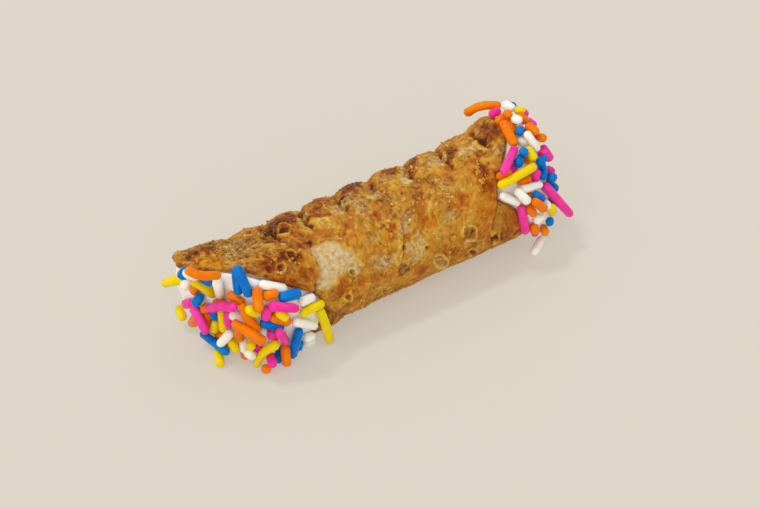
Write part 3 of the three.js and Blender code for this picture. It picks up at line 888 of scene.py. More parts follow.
def build_crumbs(settings, sheet, pastry):
    """Crumbs and thin flakes of pastry stuck to the skin: one small ball, repeated, then shaped and laid."""
    share = np.linspace(0, 1, len(sheet.x))
    v, u = np.meshgrid(share, share, indexing="ij")
    skin = roll_up(sheet, u, v, 0 * u)[0]
    outwards = np.cross(np.gradient(skin, axis=0), np.gradient(skin, axis=1))
    outwards /= np.linalg.norm(outwards, axis=-1)[..., None] + 1e-12
    outwards *= np.sign((outwards * around(0 * sheet.x, sheet.wrap, 1.0)).sum(-1))[..., None]
    bearing = np.mod(sheet.wrap, 360)
    margin = np.minimum(sheet.x - sheet.left, sheet.right - sheet.x)
    bare = (sheet.wrap > -95) & (sheet.wrap < FLAP_END - 3) & (margin > 0.8) & (np.abs(bearing - 270) > 22)
    rng = np.random.default_rng(301)
    likely = bare * (0.02 + np.clip(sheet.rough - 0.25, 0, 1) ** 1.5)
    weight = (likely / likely.sum()).ravel()
    chosen = list(rng.choice(weight.size, settings.crumbs, replace=False, p=weight))
    sizes = list(np.exp(rng.uniform(math.log(0.11), math.log(0.24), settings.crumbs)))
    in_sight = np.where(sheet.seen > 0.5, 0, 1e6)
    for px, py, radius in GRAINS:
        for _ in range(GRAIN_CLUSTER):
            stray_x, stray_y = rng.normal(0, 1.1, 2)
            away = np.hypot(sheet.px - px - stray_x, sheet.py - py - stray_y)
            chosen.append(int(np.argmin(away + in_sight)))
            sizes.append(radius * rng.uniform(0.1, 0.17))
    clear_selection()
    bpy.ops.mesh.primitive_ico_sphere_add(subdivisions=1, radius=1.0)
    piece = bpy.context.object
    ball = coordinates(piece.data)
    array = piece.modifiers.new("Copies", "ARRAY")
    array.count = len(chosen)
    array.use_relative_offset = False
    array.use_constant_offset = True
    array.constant_offset_displace = (3, 0, 0)
    bpy.ops.object.modifier_apply(modifier=array.name)
    crumbs, toast, dry = [], [], []
    for number, (index, size) in enumerate(zip(chosen, sizes)):
        row, column = divmod(index, len(sheet.x))
        loose = number >= settings.crumbs
        up = outwards[row, column] + 0.35 * rng.normal(0, 1, 3)
        up /= np.linalg.norm(up)
        side = np.cross(up, rng.normal(0, 1, 3))
        side /= np.linalg.norm(side)
        flat = rng.uniform(0, 1) < 0.6
        spread = np.array([2.2, 1.4, 0.5] if flat else [1.2, 0.9, 0.8]) * size
        shape = ball * rng.uniform(0.6, 1.3, (len(ball), 1)) * spread
        turned = shape @ np.array([side, np.cross(up, side), up])
        crumbs.append(skin[row, column] + turned + 0.1 * size * outwards[row, column])
        own = sheet.toast[row, column]
        toast.append(np.clip(own * (0.45 if loose else 0.75) + rng.uniform(-0.12, 0.12), 0, 1))
        dry.append(np.clip(sheet.dry[row, column] + rng.uniform(-0.1, 0.25) + 0.1 * loose, 0, 1))
    set_coordinates(piece.data, into_frame(np.concatenate(crumbs)))
    write_attribute(piece.data, "toast", np.repeat(toast, len(ball)))
    write_attribute(piece.data, "dry", np.repeat(dry, len(ball)))
    finish_piece(piece, "pastry_crumbs", pastry, ["pastry_shell"])


# ---- The cream ----

def under_reach(bearing, towards):
    """How far the inner layer of the shell reaches at a bearing, counted outwards along the roll."""
    bearing = np.mod(bearing, 360)
    rim = left_rim if towards < 0 else right_rim
    return towards * rim(np.where(bearing - 360 >= TUCKED_END, bearing - 360, bearing))


def rim_reach(bearing, towards):
    """How far the longer layer of the shell reaches at a bearing, counted outwards along the roll."""
    bearing = np.mod(bearing, 360)
    rim = left_rim if towards < 0 else right_rim
    outer = np.where(bearing <= FLAP_END, towards * rim(bearing), -1e9)
    under = np.where(bearing - 360 >= TUCKED_END, towards * rim(bearing - 360), -1e9)
    return np.maximum(outer, under)


MOUND_PROFILE = ((0, 1), (0.14, 1), (0.32, 1.02), (0.52, 1.01), (0.72, 0.96), (0.88, 0.84), (0.97, 0.6), (1, 0))


def cream_radius(towards, reach, bearing):
    """How far the cream reaches from the axis: shrunk deep inside, against the wall, then swollen outside."""
    full = through(MOUNDS[towards]["radius"])(np.mod(bearing, 360))
    turns = np.linspace(-9, 9, 7)
    mouth = np.mean([rim_reach(bearing + turn, towards) for turn in turns], 0)
    under = np.mean([under_reach(bearing + turn, towards) for turn in turns], 0)
    wall = skin_radius(towards * reach, bearing) - SHEET + 0.08
    inside = mix(DEEP_RADIUS, wall, ease(under - 8, under - 3, reach))
    below_flap = np.maximum(inside, ROLL_RADIUS + 0.1)
    inside = mix(inside, below_flap, ease(under, under + 1.5, reach) * ease(0, 1, mouth - under))
    return mix(inside, full, ease(mouth + 0.1, mouth + 2.0, reach))


def mound_points(towards, along, bearing):
    """The cream's surface at a mouth; along runs from 0 by the rim to 1 at the middle of the face."""
    mound = MOUNDS[towards]
    full = through(mound["radius"])(np.mod(bearing, 360))
    stage = np.linspace(0, 1, len(MOUND_PROFILE))
    outwards = through(list(zip(stage, (p[0] for p in MOUND_PROFILE))))(along)
    share = np.clip(through(list(zip(stage, (p[1] for p in MOUND_PROFILE))))(along), 0, 1.05)
    face = towards * (mound["face"] + mound["lean"] * full * share * np.cos(np.radians(bearing)))
    face = face + mound["bulge"] * ease(0.35, 0.85, share) * np.exp(-((np.mod(bearing, 360) - 82) / 34) ** 2)
    start = np.minimum(rim_reach(bearing, towards) + 0.3, face - 2.0)
    reach = mix(start, face, outwards)
    return around(towards * reach, bearing, cream_radius(towards, reach, bearing) * share)


def build_cream(settings):
    """A closed roll of cream: a sphere's rings are laid along the roll, from one face to the other."""
    clear_selection()
    rings, segments = 150, 144
    bpy.ops.mesh.primitive_uv_sphere_add(segments=segments, ring_count=rings, radius=1.0)
    piece = bpy.context.object
    ball = coordinates(piece.data)
    from_right = np.arccos(np.clip(ball[:, 2], -1, 1)) / np.pi  # 0 at the right face, 1 at the left
    bearing = np.degrees(np.arctan2(ball[:, 1], ball[:, 0])) % 360
    points = np.zeros_like(ball)
    in_shell = 0.3
    for towards, stage in ((1, from_right), (-1, 1 - from_right)):
        along = np.clip(1 - stage / (0.5 - in_shell / 2), 0, 1)
        surface = mound_points(towards, along, bearing)
        ours = stage <= 0.5
        deeper = np.clip((stage - (0.5 - in_shell / 2)) / (in_shell / 2), 0, 1)
        reach = np.abs(surface[:, 0]) * (1 - deeper ** 1.3)
        inner = around(towards * reach, bearing, cream_radius(towards, reach, bearing))
        points[ours] = np.where((deeper > 0)[:, None], inner, surface)[ours]
    out = points.copy()
    out[:, 0] = 0
    out /= np.maximum(np.linalg.norm(out, axis=1), 1e-6)[:, None]
    outside = ease(11, 15, np.abs(points[:, 0]))
    lumps = 0.32 * mottle(points[:, 0] + points[:, 1], points[:, 2] + 0.5 * points[:, 1], 4.0, 101, 3)
    lumps += 0.22 * billows(points[:, 1] + 0.3 * points[:, 0], 0.3 * points[:, 2], 2.8, 105, 2)
    facing = np.sign(points[:, 0:1]) * np.array([[1.0, 0, 0]])
    points += (outside * lumps)[:, None] * (0.5 * out + 0.5 * facing)
    points[:, 2] = np.maximum(points[:, 2], FLOOR + 2.0)
    set_coordinates(piece.data, into_frame(points))
    bpy.ops.object.mode_set(mode="EDIT")
    bpy.ops.mesh.select_all(action="SELECT")
    bpy.ops.mesh.normals_make_consistent(inside=False)
    bpy.ops.object.mode_set(mode="OBJECT")
    finish_piece(piece, "cream_roll", whipped_cream(settings), ["cream_filling"])
    return piece


# ---- The sprinkles ----

# Each row: colour, how high it lies in the heap, then the ends of its centre line in the camera's
# picture and, for a bent one, the point that it bends through.
NEAR_SPRINKLES = (
    ("yellow", 0, 165, 283, 181, 280, 172, 281),
    ("blue", 0, 182, 275.6, 185, 271),
    ("orange", 0, 196, 284, 194.5, 291),
    ("yellow", 0, 179.4, 309.3, 182.6, 317.3),
    ("orange", 0, 193, 322.6, 197, 316),
    ("orange", 0, 206.5, 314, 208.5, 326),
    ("yellow", 0, 215.6, 323, 214.6, 329.5),
    ("yellow", 0, 217.8, 351, 220.2, 363),
    ("orange", 0, 245, 355, 251, 349),
    ("orange", 0, 264.8, 368.6, 267, 369),
    ("white", 0, 307.4, 342, 312, 340.6),
    ("white", 0, 307.4, 337.8, 311.4, 336.4),
    ("white", 1, 187, 273.4, 195, 276),
    ("white", 1, 184.3, 285.4, 188.3, 285.4),
    ("blue", 1, 203.5, 279.5, 209.5, 282),
    ("pink", 1, 186, 304, 194, 303.4),
    ("orange", 1, 203.6, 309, 206, 308.6),
    ("blue", 1, 214.2, 309, 215, 317),
    ("yellow", 1, 221.6, 313, 224, 328.4),
    ("orange", 1, 216, 303.6, 224, 304),
    ("pink", 1, 228.6, 313, 228.6, 323.6),
    ("white", 1, 233, 314.6, 249, 325),
    ("white", 1, 217.5, 283, 219.8, 295.2),
    ("blue", 1, 203.8, 334.4, 225.6, 351.2),
    ("orange", 1, 218.6, 337.2, 222.6, 335),
    ("orange", 1, 226.6, 344.6, 230, 340),
    ("white", 1, 262.4, 284.8, 283, 288.6),
    ("blue", 1, 264.6, 323, 280, 327.4),
    ("orange", 1, 274, 317.8, 287, 321.2),
    ("white", 1, 262.4, 331, 264.8, 338.4),
    ("white", 1, 244.6, 342.6, 245.4, 350),
    ("white", 1, 248.6, 353.6, 252, 356),
    ("pink", 1, 257.6, 347, 260, 350.6),
    ("blue", 1, 299.4, 343.4, 298.2, 347),
    ("blue", 1, 281.4, 351, 277.8, 359),
    ("yellow", 1, 320.6, 312, 329.3, 339.8, 325.6, 325.4),
    ("yellow", 2, 193.6, 281, 212, 294, 203.4, 287),
    ("blue", 2, 237, 271, 238.3, 291.4),
    ("orange", 2, 230.6, 295.6, 241, 302),
    ("orange", 2, 238.4, 326, 239.4, 338),
    ("yellow", 2, 232, 342.8, 236, 348.8),
    ("orange", 2, 266, 296, 274.2, 293.8),
    ("blue", 2, 282, 297.4, 297, 293.6),
    ("white", 2, 302, 302, 311.4, 297.4),
    ("yellow", 2, 279.6, 313.2, 285.2, 317.2),
    ("pink", 2, 271.4, 334, 275.6, 336),
    ("yellow", 2, 250.6, 342.8, 251, 346.2),
    ("pink", 2, 270.2, 356, 272.4, 363.8),
    ("orange", 2, 285.7, 349, 286.4, 362.8),
    ("orange", 2, 243.6, 307.4, 256.4, 328.2, 247.6, 318),
    ("pink", 3, 194.6, 309, 205.2, 330),
    ("blue", 3, 195.6, 303.2, 199.8, 297.2),
    ("pink", 3, 209.6, 308.4, 233.6, 307, 221, 306.4),
    ("white", 3, 221, 343, 229.2, 334),
    ("orange", 3, 188.6, 271, 217.2, 275.2, 201, 275.6),
    ("blue", 3, 238.3, 269.6, 248.2, 292.8),
    ("orange", 3, 235, 323.4, 262, 341),
    ("yellow", 3, 249.4, 309.8, 255.4, 313),
    ("orange", 4, 257, 291.4, 258.6, 307.6),
    ("pink", 3, 267, 310.4, 265.8, 316.8),
    ("pink", 4, 272.6, 306, 294.8, 308.2),
    ("yellow", 3, 304.2, 312.8, 320.8, 304.2, 313, 307.8),
    ("white", 3, 296.4, 322, 313.4, 325.6),
    ("blue", 3, 298.8, 332, 292.4, 354.4),
    ("pink", 3, 279.6, 333, 286, 341.6),
    ("yellow", 3, 257, 363.2, 275.4, 344.6, 263.6, 352.4),
)
FAR_SPRINKLES = (
    ("blue", 0, 511, 106.4, 512.6, 106),
    ("pink", 0, 522.8, 112.4, 524.4, 113.6),
    ("pink", 0, 529, 122, 533, 124.6),
    ("orange", 0, 527, 159, 530.6, 161.4),
    ("pink", 0, 543.6, 148.6, 549.6, 158.2),
    ("pink", 0, 548.6, 170.7, 551, 171),
    ("blue", 0, 554, 187.4, 554.8, 188.2),
    ("blue", 0, 551, 202, 552.6, 204),
    ("pink", 0, 535.4, 231, 535, 232.8),
    ("white", 0, 541, 239.6, 534.8, 251.4),
    ("pink", 0, 508, 173, 514, 167),
    ("white", 1, 505.6, 105, 511.4, 108),
    ("yellow", 1, 519, 110.8, 521.4, 110.4),
    ("orange", 1, 509.6, 118, 513, 132.4),
    ("orange", 1, 498.8, 121, 503, 118),
    ("orange", 1, 520, 117, 525, 120.4),
    ("pink", 1, 530.6, 131, 535.6, 136),
    ("orange", 1, 541, 137.6, 542.4, 137.9),
    ("white", 1, 520.8, 140, 525.4, 142),
    ("yellow", 1, 528.6, 150.2, 533, 157.4),
    ("pink", 1, 541.2, 153.4, 542.8, 152.6),
    ("blue", 1, 541.6, 165, 544, 172.4),
    ("blue", 1, 543.4, 174.6, 543, 176.8),
    ("blue", 1, 552.4, 177, 550.4, 180.6),
    ("orange", 1, 521.6, 182.4, 527.4, 178.6),
    ("orange", 1, 500.4, 176.4, 508, 172.4),
    ("orange", 1, 529.4, 196, 533, 199),
    ("white", 1, 537.2, 219.6, 541, 217.6),
    ("yellow", 1, 552, 207.4, 551.6, 211.4),
    ("white", 1, 546, 203, 547.2, 205.2),
    ("blue", 1, 550, 220.8, 549.6, 221.8),
    ("orange", 1, 533.6, 226.2, 535, 230),
    ("white", 2, 515.4, 119, 518, 120),
    ("orange", 2, 528.2, 126.8, 535.6, 131.2),
    ("white", 2, 527.6, 135, 536.2, 147.4),
    ("blue", 2, 523, 151.2, 524.2, 152.4),
    ("blue", 2, 539.6, 162.4, 544, 158.6),
    ("pink", 2, 536.4, 173.2, 534.8, 178),
    ("orange", 2, 529.6, 208.6, 533.4, 213.2),
    ("pink", 2, 521.4, 208.4, 525.2, 230),
    ("orange", 2, 543.6, 228, 545, 231.8),
    ("orange", 2, 467.8, 112.4, 497, 105.2, 480, 106.2),
    ("pink", 3, 492.6, 113.4, 497.4, 111.6),
    ("orange", 3, 508, 113.4, 507.6, 114.6),
    ("orange", 3, 503.6, 123.6, 513.6, 142.4),
    ("blue", 3, 520.3, 129.8, 519.9, 131.8),
    ("pink", 3, 514, 150, 504, 171),
    ("blue", 3, 521, 157.4, 518.2, 163.4),
    ("white", 3, 523, 189.4, 538.8, 185),
    ("pink", 3, 545.6, 186.6, 569.4, 213.4),
    ("blue", 3, 536, 194.8, 541.8, 198.6),
    ("orange", 3, 535.6, 202, 543.6, 208.6),
    ("yellow", 4, 501, 185.4, 533, 167),
    ("white", 4, 518.2, 192, 526.4, 200.4),
    ("white", 4, 503.4, 196.4, 516.4, 201.8),
)
SPRINKLE_GAP = 1.75  # between centre lines: sprinkles press into each other a little
# How the sprinkles that the camera doesn't see are shared among the colours.
COLOUR_SHARES = {"orange": 0.28, "yellow": 0.2, "pink": 0.2, "blue": 0.17, "white": 0.15}

# A sprinkle's rings: share of the way along its centre line, radii beyond it, share of its radius.
SPRINKLE_RINGS = (
    (0, -1.0, 0.0), (0, -0.78, 0.65), (0, -0.2, 0.99), (0.35, 0, 1.02), (0.65, 0, 1.02),
    (1, 0.2, 0.99), (1, 0.78, 0.65), (1, 1.0, 0.0),
)
SPRINKLE_SIDES = 8


class Ground:
    """What sprinkles of one radius lie on: the surfaces of some pieces, in millimetres round the axis."""

    def __init__(self, radius, *pieces):
        self.radius = radius
        self.trees = []
        for piece in pieces:
            points = coordinates(piece.data) / MM - ROLL_AXIS
            faces = [tuple(face.vertices) for face in piece.data.polygons]
            self.trees.append(BVHTree.FromPolygons([Vector(p) for p in points], faces))

    def nearest(self, point):
        """The nearest point on the ground, its outward direction and its distance."""
        found = [tree.find_nearest(Vector(point)) for tree in self.trees]
        place, normal, _, distance = min((f for f in found if f[0] is not None), key=lambda f: f[3])
        return np.array(place), np.array(normal), distance

    def along_sight(self, px, py, height):
        """The first point at a height over the ground that a pixel sees, or the nearest it gets."""
        ray = sight(px, py)
        reach = CAMERA_DISTANCE - 70
        best = (1e9, EYE + ray * reach)
        for _ in range(60):
            point = EYE + ray * reach
            distance = self.nearest(point)[2] - height
            if distance < best[0]:
                best = (distance, point)
            if distance < 0.02 or reach > CAMERA_DISTANCE + 60:
                break
            reach += max(distance, 0.05)
        point = best[1]
        lift = FLOOR + self.radius - point[2]
        return point - ray * lift / abs(ray[2]) if lift > 0 else point

    def hides(self, point):
        """Whether the ground stands between a point and the camera."""
        towards = Vector(EYE - point)
        distance = towards.length
        start = Vector(point) + towards.normalized() * 0.3
        return any(tree.ray_cast(start, towards.normalized(), distance)[0] is not None for tree in self.trees)


def bow(start, end, middle, t):
    """Points along a centre line that bends through a middle point."""
    t = np.asarray(t, float)[:, None]
    control = 2 * middle - (start + end) / 2
    return (1 - t) ** 2 * start + 2 * t * (1 - t) * control + t * t * end


SAMPLES = np.linspace(0, 1, 7)


class Heap:
    """Sprinkles placed so far: each is a colour, its two ends and its middle."""

    def __init__(self, ground):
        self.ground = ground
        self.sprinkles = []
        self.lines = np.zeros((0, len(SAMPLES), 3))

    def room(self, line):
        """Least distance between a centre line and those placed before."""
        if len(self.lines) == 0:
            return 1e9
        middle = line[len(line) // 2]
        near = self.lines[np.linalg.norm(self.lines[:, len(SAMPLES) // 2] - middle, axis=1) < 12]
        if len(near) == 0:
            return 1e9
        fine = np.concatenate([line, (line[1:] + line[:-1]) / 2])
        return np.linalg.norm(near[:, :, None] - fine[None, None], axis=3).min()

    def add(self, name, start, end, middle):
        self.sprinkles.append((name, start, end, middle))
        self.lines = np.concatenate([self.lines, bow(start, end, middle, SAMPLES)[None]])

    def lay_as_seen(self, row):
        """Lays a sprinkle so that the camera sees its ends where the row says, as low as there is room."""
        name, level, ax, ay, bx, by = row[:6]
        bend = row[6:] if len(row) > 6 else ((ax + bx) / 2, (ay + by) / 2)
        heights = 0.7 + 0.45 * np.arange(16) + 0.5 * (level > 2)
        starts = [self.ground.along_sight(ax, ay, height) for height in heights]
        ends = [self.ground.along_sight(bx, by, height) for height in heights]
        best = (-1e9, None)
        for total in range(2 * len(heights) - 1):
            for i in sorted(range(max(0, total - 15), min(total, 15) + 1), key=lambda k: abs(2 * k - total)):
                j = total - i
                start, end = starts[i], ends[j]
                if abs(i - j) > 5 or np.linalg.norm(end - start) > 9.5:
                    continue
                middle = self.between(start, end, bend)
                room = min(self.room(bow(start, end, middle, SAMPLES)), SPRINKLE_GAP)
                if room - 0.01 * total > best[0]:
                    best = (room - 0.01 * total, (start, end, middle))
                if room >= SPRINKLE_GAP:
                    self.add(name, start, end, middle)
                    return
        if best[1] is None:
            middle = self.between(starts[4], ends[4], bend)
            best = (0, (starts[4], ends[4], middle))
        self.add(name, *best[1])

    def between(self, start, end, bend):
        """The middle of a sprinkle: seen at the bend's pixel, as far off as halfway between its ends."""
        ray = sight(*bend)
        halfway = (start + end) / 2
        return EYE + ray * (np.dot(halfway - EYE, BACK) / np.dot(ray, BACK))


def hero_cover(rows):
    """Makes a test of whether a pixel lies well inside a row's sprinkle."""
    halves = []
    for row in rows:
        ax, ay, bx, by = row[2:6]
        mx, my = row[6:] if len(row) > 6 else ((ax + bx) / 2, (ay + by) / 2)
        halves += [(ax, ay, mx, my), (mx, my, bx, by)]
    halves = np.array(halves, float)
    a, b = halves[:, :2], halves[:, 2:]

    def covered(pixel):
        t = np.clip(((pixel - a) * (b - a)).sum(1) / np.maximum(((b - a) ** 2).sum(1), 1e-6), 0, 1)
        return np.linalg.norm(pixel - a - t[:, None] * (b - a), axis=1).min() < 4.4

    return covered


def picture(point):
    """The pixel at which the camera sees a point."""
    away = point - EYE
    depth = -np.dot(away, BACK)
    across, down = np.dot(away, RIGHT), -np.dot(away, UP)
    return np.array([PICTURE[0] / 2 + FOCUS * across / depth, PICTURE[1] / 2 + FOCUS * down / depth])


TRIES = 25  # places tried for each sprinkle that is wanted
HEAP_HEIGHTS = (0.75, 1.35, 1.95, 2.55)  # of a strewn one's centre line over the cream; the lowest free one is taken


def strew(heap, towards, covered, count, seed):
    """Strews sprinkles over a mound wherever the camera doesn't see them."""
    rng = np.random.default_rng(seed)
    names, shares = zip(*COLOUR_SHARES.items())
    laid = 0
    for _ in range(count * TRIES):
        if laid >= count:
            break
        bearing = rng.uniform(0, 360)
        along = rng.uniform(0.05, 1)
        if rng.uniform() > mix(1, 0.6, along):
            continue
        centre = mound_points(towards, np.array([along]), np.array([bearing]))[0]
        spin = rng.normal(0, 1, 3)
        length = rng.uniform(3.2, 6.4)
        place, normal, _ = heap.ground.nearest(centre)
        spin -= normal * np.dot(spin, normal)
        spin /= np.linalg.norm(spin) + 1e-9
        bend = rng.uniform(0, 0.3)
        under = [heap.ground.nearest(place + spin * side * length + normal)[:2] for side in (-0.5, 0.5)]
        for height in HEAP_HEIGHTS:
            start, end = (near + out * height for near, out in under)
            middle = (start + end) / 2 + normal * bend
            line = bow(start, end, middle, SAMPLES)
            if heap.room(line) >= SPRINKLE_GAP:
                break
        else:
            continue
        if not 2 < np.linalg.norm(end - start) < 8 or beyond_shell(line, towards):
            continue
        if min(start[2], end[2]) < FLOOR + heap.ground.radius:
            continue
        beyond = heap.ground.radius / length
        tips = bow(start, end, middle, (-beyond, 1 + beyond))
        cover = covered if height == HEAP_HEIGHTS[0] else nowhere
        if not all(unseen(heap.ground, point, cover) for point in (*tips, *line)):
            continue
        heap.add(str(rng.choice(names, p=shares)), start, end, middle)
        laid += 1


def nowhere(pixel):
    """The cover of a sprinkle that lies too high to be hidden by others."""
    return False


def beyond_shell(line, towards):
    """Whether a centre line strays over the shell instead of the cream."""
    bearing = np.degrees(np.arctan2(line[:, 2], line[:, 1]))
    return np.any(towards * line[:, 0] < rim_reach(bearing, towards) + 0.3)


def unseen(ground, point, covered):
    """Whether the camera sees nothing of a sprinkle at a point of its centre line."""
    sides = [across * RIGHT + down * UP for across, down in (
        (0, 0), (1.3, 0), (-1.3, 0), (0, 1.3), (0, -1.3), (0.9, 0.9), (-0.9, 0.9))]
    return all(ground.hides(point + side) or covered(picture(point + side)) for side in sides)


def sprinkle_points(start, end, middle, radius, ball, rng):
    """Shapes one ball's rings into a sprinkle. ball holds each vertex's ring and direction round it."""
    ring, angle = ball
    rings = np.array(SPRINKLE_RINGS)
    t, beyond, share = rings[ring].T
    blunt = rng.uniform(0.72, 1.0, 2)
    beyond = beyond * np.where(beyond < 0, blunt[0], blunt[1])
    line = bow(start, end, middle, t)
    ahead = bow(start, end, middle, np.minimum(t + 0.02, 1.02)) - bow(start, end, middle, np.minimum(t - 0.02, 0.98))
    ahead /= np.linalg.norm(ahead, axis=1)[:, None]
    side = np.cross(ahead, rng.normal(0, 1, 3))
    side /= np.linalg.norm(side, axis=1)[:, None]
    up = np.cross(ahead, side)
    thick = radius * share * (1 + 0.05 * np.sin(2 * angle + rng.uniform(0, 6))) * rng.uniform(0.95, 1.06)
    thick = thick * (1 + 0.05 * rng.normal(0, 1) * (2 * t - 1))
    return line + ahead * (beyond * radius)[:, None] + (
        side * np.cos(angle)[:, None] + up * np.sin(angle)[:, None]) * thick[:, None]


def build_sprinkles(settings, shell, cream):
    ground = Ground(settings.sprinkle_thickness / MM / 2, cream, shell)
    heap = Heap(ground)
    for rows in (NEAR_SPRINKLES, FAR_SPRINKLES):
        for row in sorted(rows, key=lambda each: each[1]):
            heap.lay_as_seen(row)
    strew(heap, -1, hero_cover(NEAR_SPRINKLES), settings.hidden_sprinkles, 201)
    strew(heap, 1, hero_cover(FAR_SPRINKLES), settings.hidden_sprinkles, 202)
    for name in COLOUR_SHARES:
        ours = [sprinkle[1:] for sprinkle in heap.sprinkles if sprinkle[0] == name]
        material = sugar_sprinkle(f"{name}_sugar_glaze", getattr(settings, name))
        sprinkle_piece(name, ours, ground.radius, material)


def sprinkle_piece(name, ours, radius, material):
    """All sprinkles of one colour: one ball, repeated by an array, each copy then shaped and laid."""
    clear_selection()
    bpy.ops.mesh.primitive_uv_sphere_add(
        segments=SPRINKLE_SIDES, ring_count=len(SPRINKLE_RINGS) - 1, radius=1.0)
    piece = bpy.context.object
    ball = coordinates(piece.data)
    polar = np.arccos(np.clip(ball[:, 2], -1, 1)) / np.pi
    ring = np.rint(polar * (len(SPRINKLE_RINGS) - 1)).astype(int)
    angle = np.arctan2(ball[:, 1], ball[:, 0])
    array = piece.modifiers.new("Copies", "ARRAY")
    array.count = len(ours)
    array.use_relative_offset = False
    array.use_constant_offset = True
    array.constant_offset_displace = (3, 0, 0)
    bpy.ops.object.modifier_apply(modifier=array.name)
    rng = np.random.default_rng(len(name) * 7 + len(ours))
    points = [sprinkle_points(*each, radius, (ring, angle), rng) for each in ours]
    set_coordinates(piece.data, into_frame(np.concatenate(points)))
    bpy.ops.object.mode_set(mode="EDIT")
    bpy.ops.mesh.select_all(action="SELECT")
    bpy.ops.mesh.normals_make_consistent(inside=False)
    bpy.ops.object.mode_set(mode="OBJECT")
    finish_piece(piece, f"{name}_sprinkles", material, ["sprinkles_left", "sprinkles_right"])


# ---- Registration ----

def colour_setting(name, hex_code, description):
    return FloatVectorProperty(
        name=name, description=description, subtype="COLOR", size=3, min=0, max=1, default=colour(hex_code)[:3])


class CannoliSettings(bpy.types.PropertyGroup):
    """Sizes and colours that a user would change"""

    shell_divisions: IntProperty(
        name="Shell divisions", description="Squares across the sheet before its outside is divided by four",
        default=72, min=8, max=80)
    crumbs: IntProperty(
        name="Crumbs", description="Crumbs and flakes stuck to the pastry", default=1300, min=0, max=6000)
    hidden_sprinkles: IntProperty(
        name="Hidden sprinkles", description="Sprinkles strewn over each end's far side",
        default=200, min=0, max=400)
    sprinkle_thickness: FloatProperty(
        name="Sprinkle thickness", description="How thick each sprinkle is",
        default=2.0 * MM, min=1.2 * MM, max=3 * MM, unit="LENGTH")
    browning: FloatProperty(
        name="Browning", description="How much darker than usual the pastry is fried",
        default=0.0, min=-0.4, max=0.4, subtype="FACTOR")
    cream_colour: colour_setting("Cream", "#FFFFF6", "Colour of the cream")
    orange: colour_setting("Orange", "#F07400", "Glaze of the orange sprinkles")
    yellow: colour_setting("Yellow", "#EED000", "Glaze of the yellow sprinkles")
    pink: colour_setting("Pink", "#F4309A", "Glaze of the pink sprinkles")
    blue: colour_setting("Blue", "#006CC6", "Glaze of the blue sprinkles")
    white: colour_setting("White", "#F5F1E6", "Glaze of the white sprinkles")


class CANNOLI_OT_shell(bpy.types.Operator):
    """Roll up the fried pastry sheet"""

    bl_idname = "cannoli.shell"
    bl_label = "Pastry Shell"

    def execute(self, context):
        build_shell(context.scene.cannoli)
        return {"FINISHED"}


class CANNOLI_OT_cream(bpy.types.Operator):
    """Fill the roll with cream"""

    bl_idname = "cannoli.cream"
    bl_label = "Cream Filling"

    def execute(self, context):
        build_cream(context.scene.cannoli)
        return {"FINISHED"}


class CANNOLI_OT_sprinkles(bpy.types.Operator):
    """Heap sprinkles over both ends of the cream"""

    bl_idname = "cannoli.sprinkles"
    bl_label = "Sprinkles"

    def execute(self, context):
        build_sprinkles(context.scene.cannoli, bpy.data.objects["pastry_roll"], bpy.data.objects["cream_roll"])
        return {"FINISHED"}


class CANNOLI_OT_stage(bpy.types.Operator):
    """Add the floor, the lights and the camera"""

    bl_idname = "cannoli.stage"
    bl_label = "Stage"

    def execute(self, context):
        build_stage(context.scene.cannoli)
        return {"FINISHED"}


# Each light: name, where it comes from, energy, and how wide it looks in degrees.
STAGE_LIGHTS = (
    ("overhead_lamp", (-0.25, 0.3, 0.9), 0.75, 8),
    ("front_softbox", (-0.7, -0.64, 0.42), 0.85, 70),
)


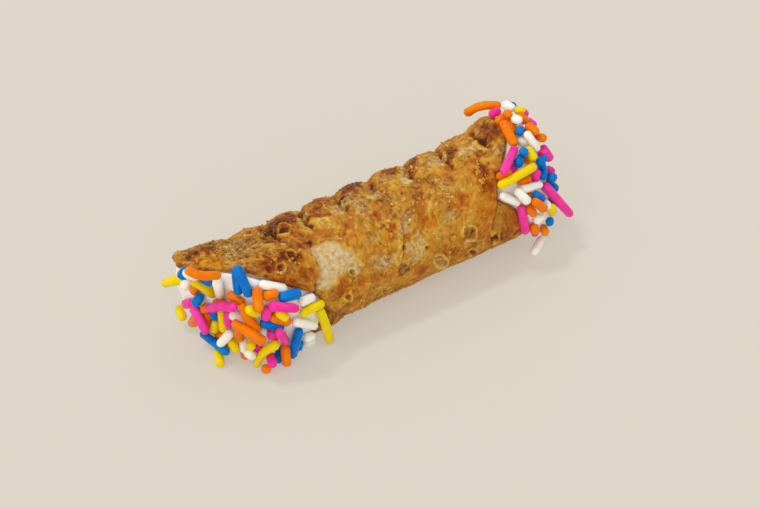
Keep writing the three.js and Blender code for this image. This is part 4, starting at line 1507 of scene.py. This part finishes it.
def build_stage(settings):
    clear_selection()
    bpy.ops.mesh.primitive_plane_add(size=6.0, location=(0, 0, 0))
    floor = bpy.context.object
    floor.name = "floor"
    # Frosted acrylic over a lamp, as on a light table: it glows a little, so shadows on it are faint.
    material, shader = new_material("frosted_acrylic")
    shader.inputs["Base Color"].default_value = colour("#9C978D")
    shader.inputs["Emission Color"].default_value = colour("#D5CEC1")
    shader.inputs["Emission Strength"].default_value = 0.55
    shader.inputs["Roughness"].default_value = 0.9
    shader.inputs["Specular IOR Level"].default_value = 0.1
    floor.data.materials.append(material)
    for name, towards, energy, spread in STAGE_LIGHTS:
        bpy.ops.object.light_add(type="SUN", location=[0.6 * part for part in towards])
        sun = bpy.context.object
        sun.name = name
        sun.data.energy = energy
        sun.data.angle = math.radians(spread)
        sun.rotation_euler = Vector(towards).to_track_quat("Z", "Y").to_euler()
    world = bpy.data.worlds.new("soft_room")
    bpy.context.scene.world = world
    world.use_nodes = True
    background = world.node_tree.nodes["Background"]
    background.inputs["Color"].default_value = colour("#F2F2F0")
    background.inputs["Strength"].default_value = 0.86
    bpy.ops.object.camera_add()
    camera = bpy.context.object
    camera.name = "camera"
    camera.data.lens = LENS
    camera.data.sensor_width = SENSOR
    camera.data.clip_start = 0.01
    turn = Matrix((RIGHT, UP, BACK)).transposed()
    camera.matrix_world = Matrix.Translation(Vector(into_frame(EYE))) @ turn.to_4x4()
    bpy.context.scene.camera = camera
    bpy.context.scene.view_settings.view_transform = "Standard"


class CANNOLI_PT_panel(bpy.types.Panel):
    """Lists the pieces of the cannoli"""

    bl_label = "Cannoli"
    bl_idname = "CANNOLI_PT_panel"
    bl_space_type = "VIEW_3D"
    bl_region_type = "UI"
    bl_category = "Cannoli"

    def draw(self, context):
        for name in CannoliSettings.__annotations__:
            self.layout.prop(context.scene.cannoli, name)
        for operator in OPERATORS:
            self.layout.operator(operator.bl_idname)


OPERATORS = (CANNOLI_OT_shell, CANNOLI_OT_cream, CANNOLI_OT_sprinkles, CANNOLI_OT_stage)
CLASSES = (CannoliSettings, *OPERATORS, CANNOLI_PT_panel)


def register():
    for cls in CLASSES:
        bpy.utils.register_class(cls)
    bpy.types.Scene.cannoli = PointerProperty(type=CannoliSettings)


def unregister():
    del bpy.types.Scene.cannoli
    for cls in reversed(CLASSES):
        bpy.utils.unregister_class(cls)


def main():
    register()
    bpy.ops.cannoli.shell()
    bpy.ops.cannoli.cream()
    bpy.ops.cannoli.sprinkles()
    bpy.ops.cannoli.stage()


if __name__ == "__main__":
    main()
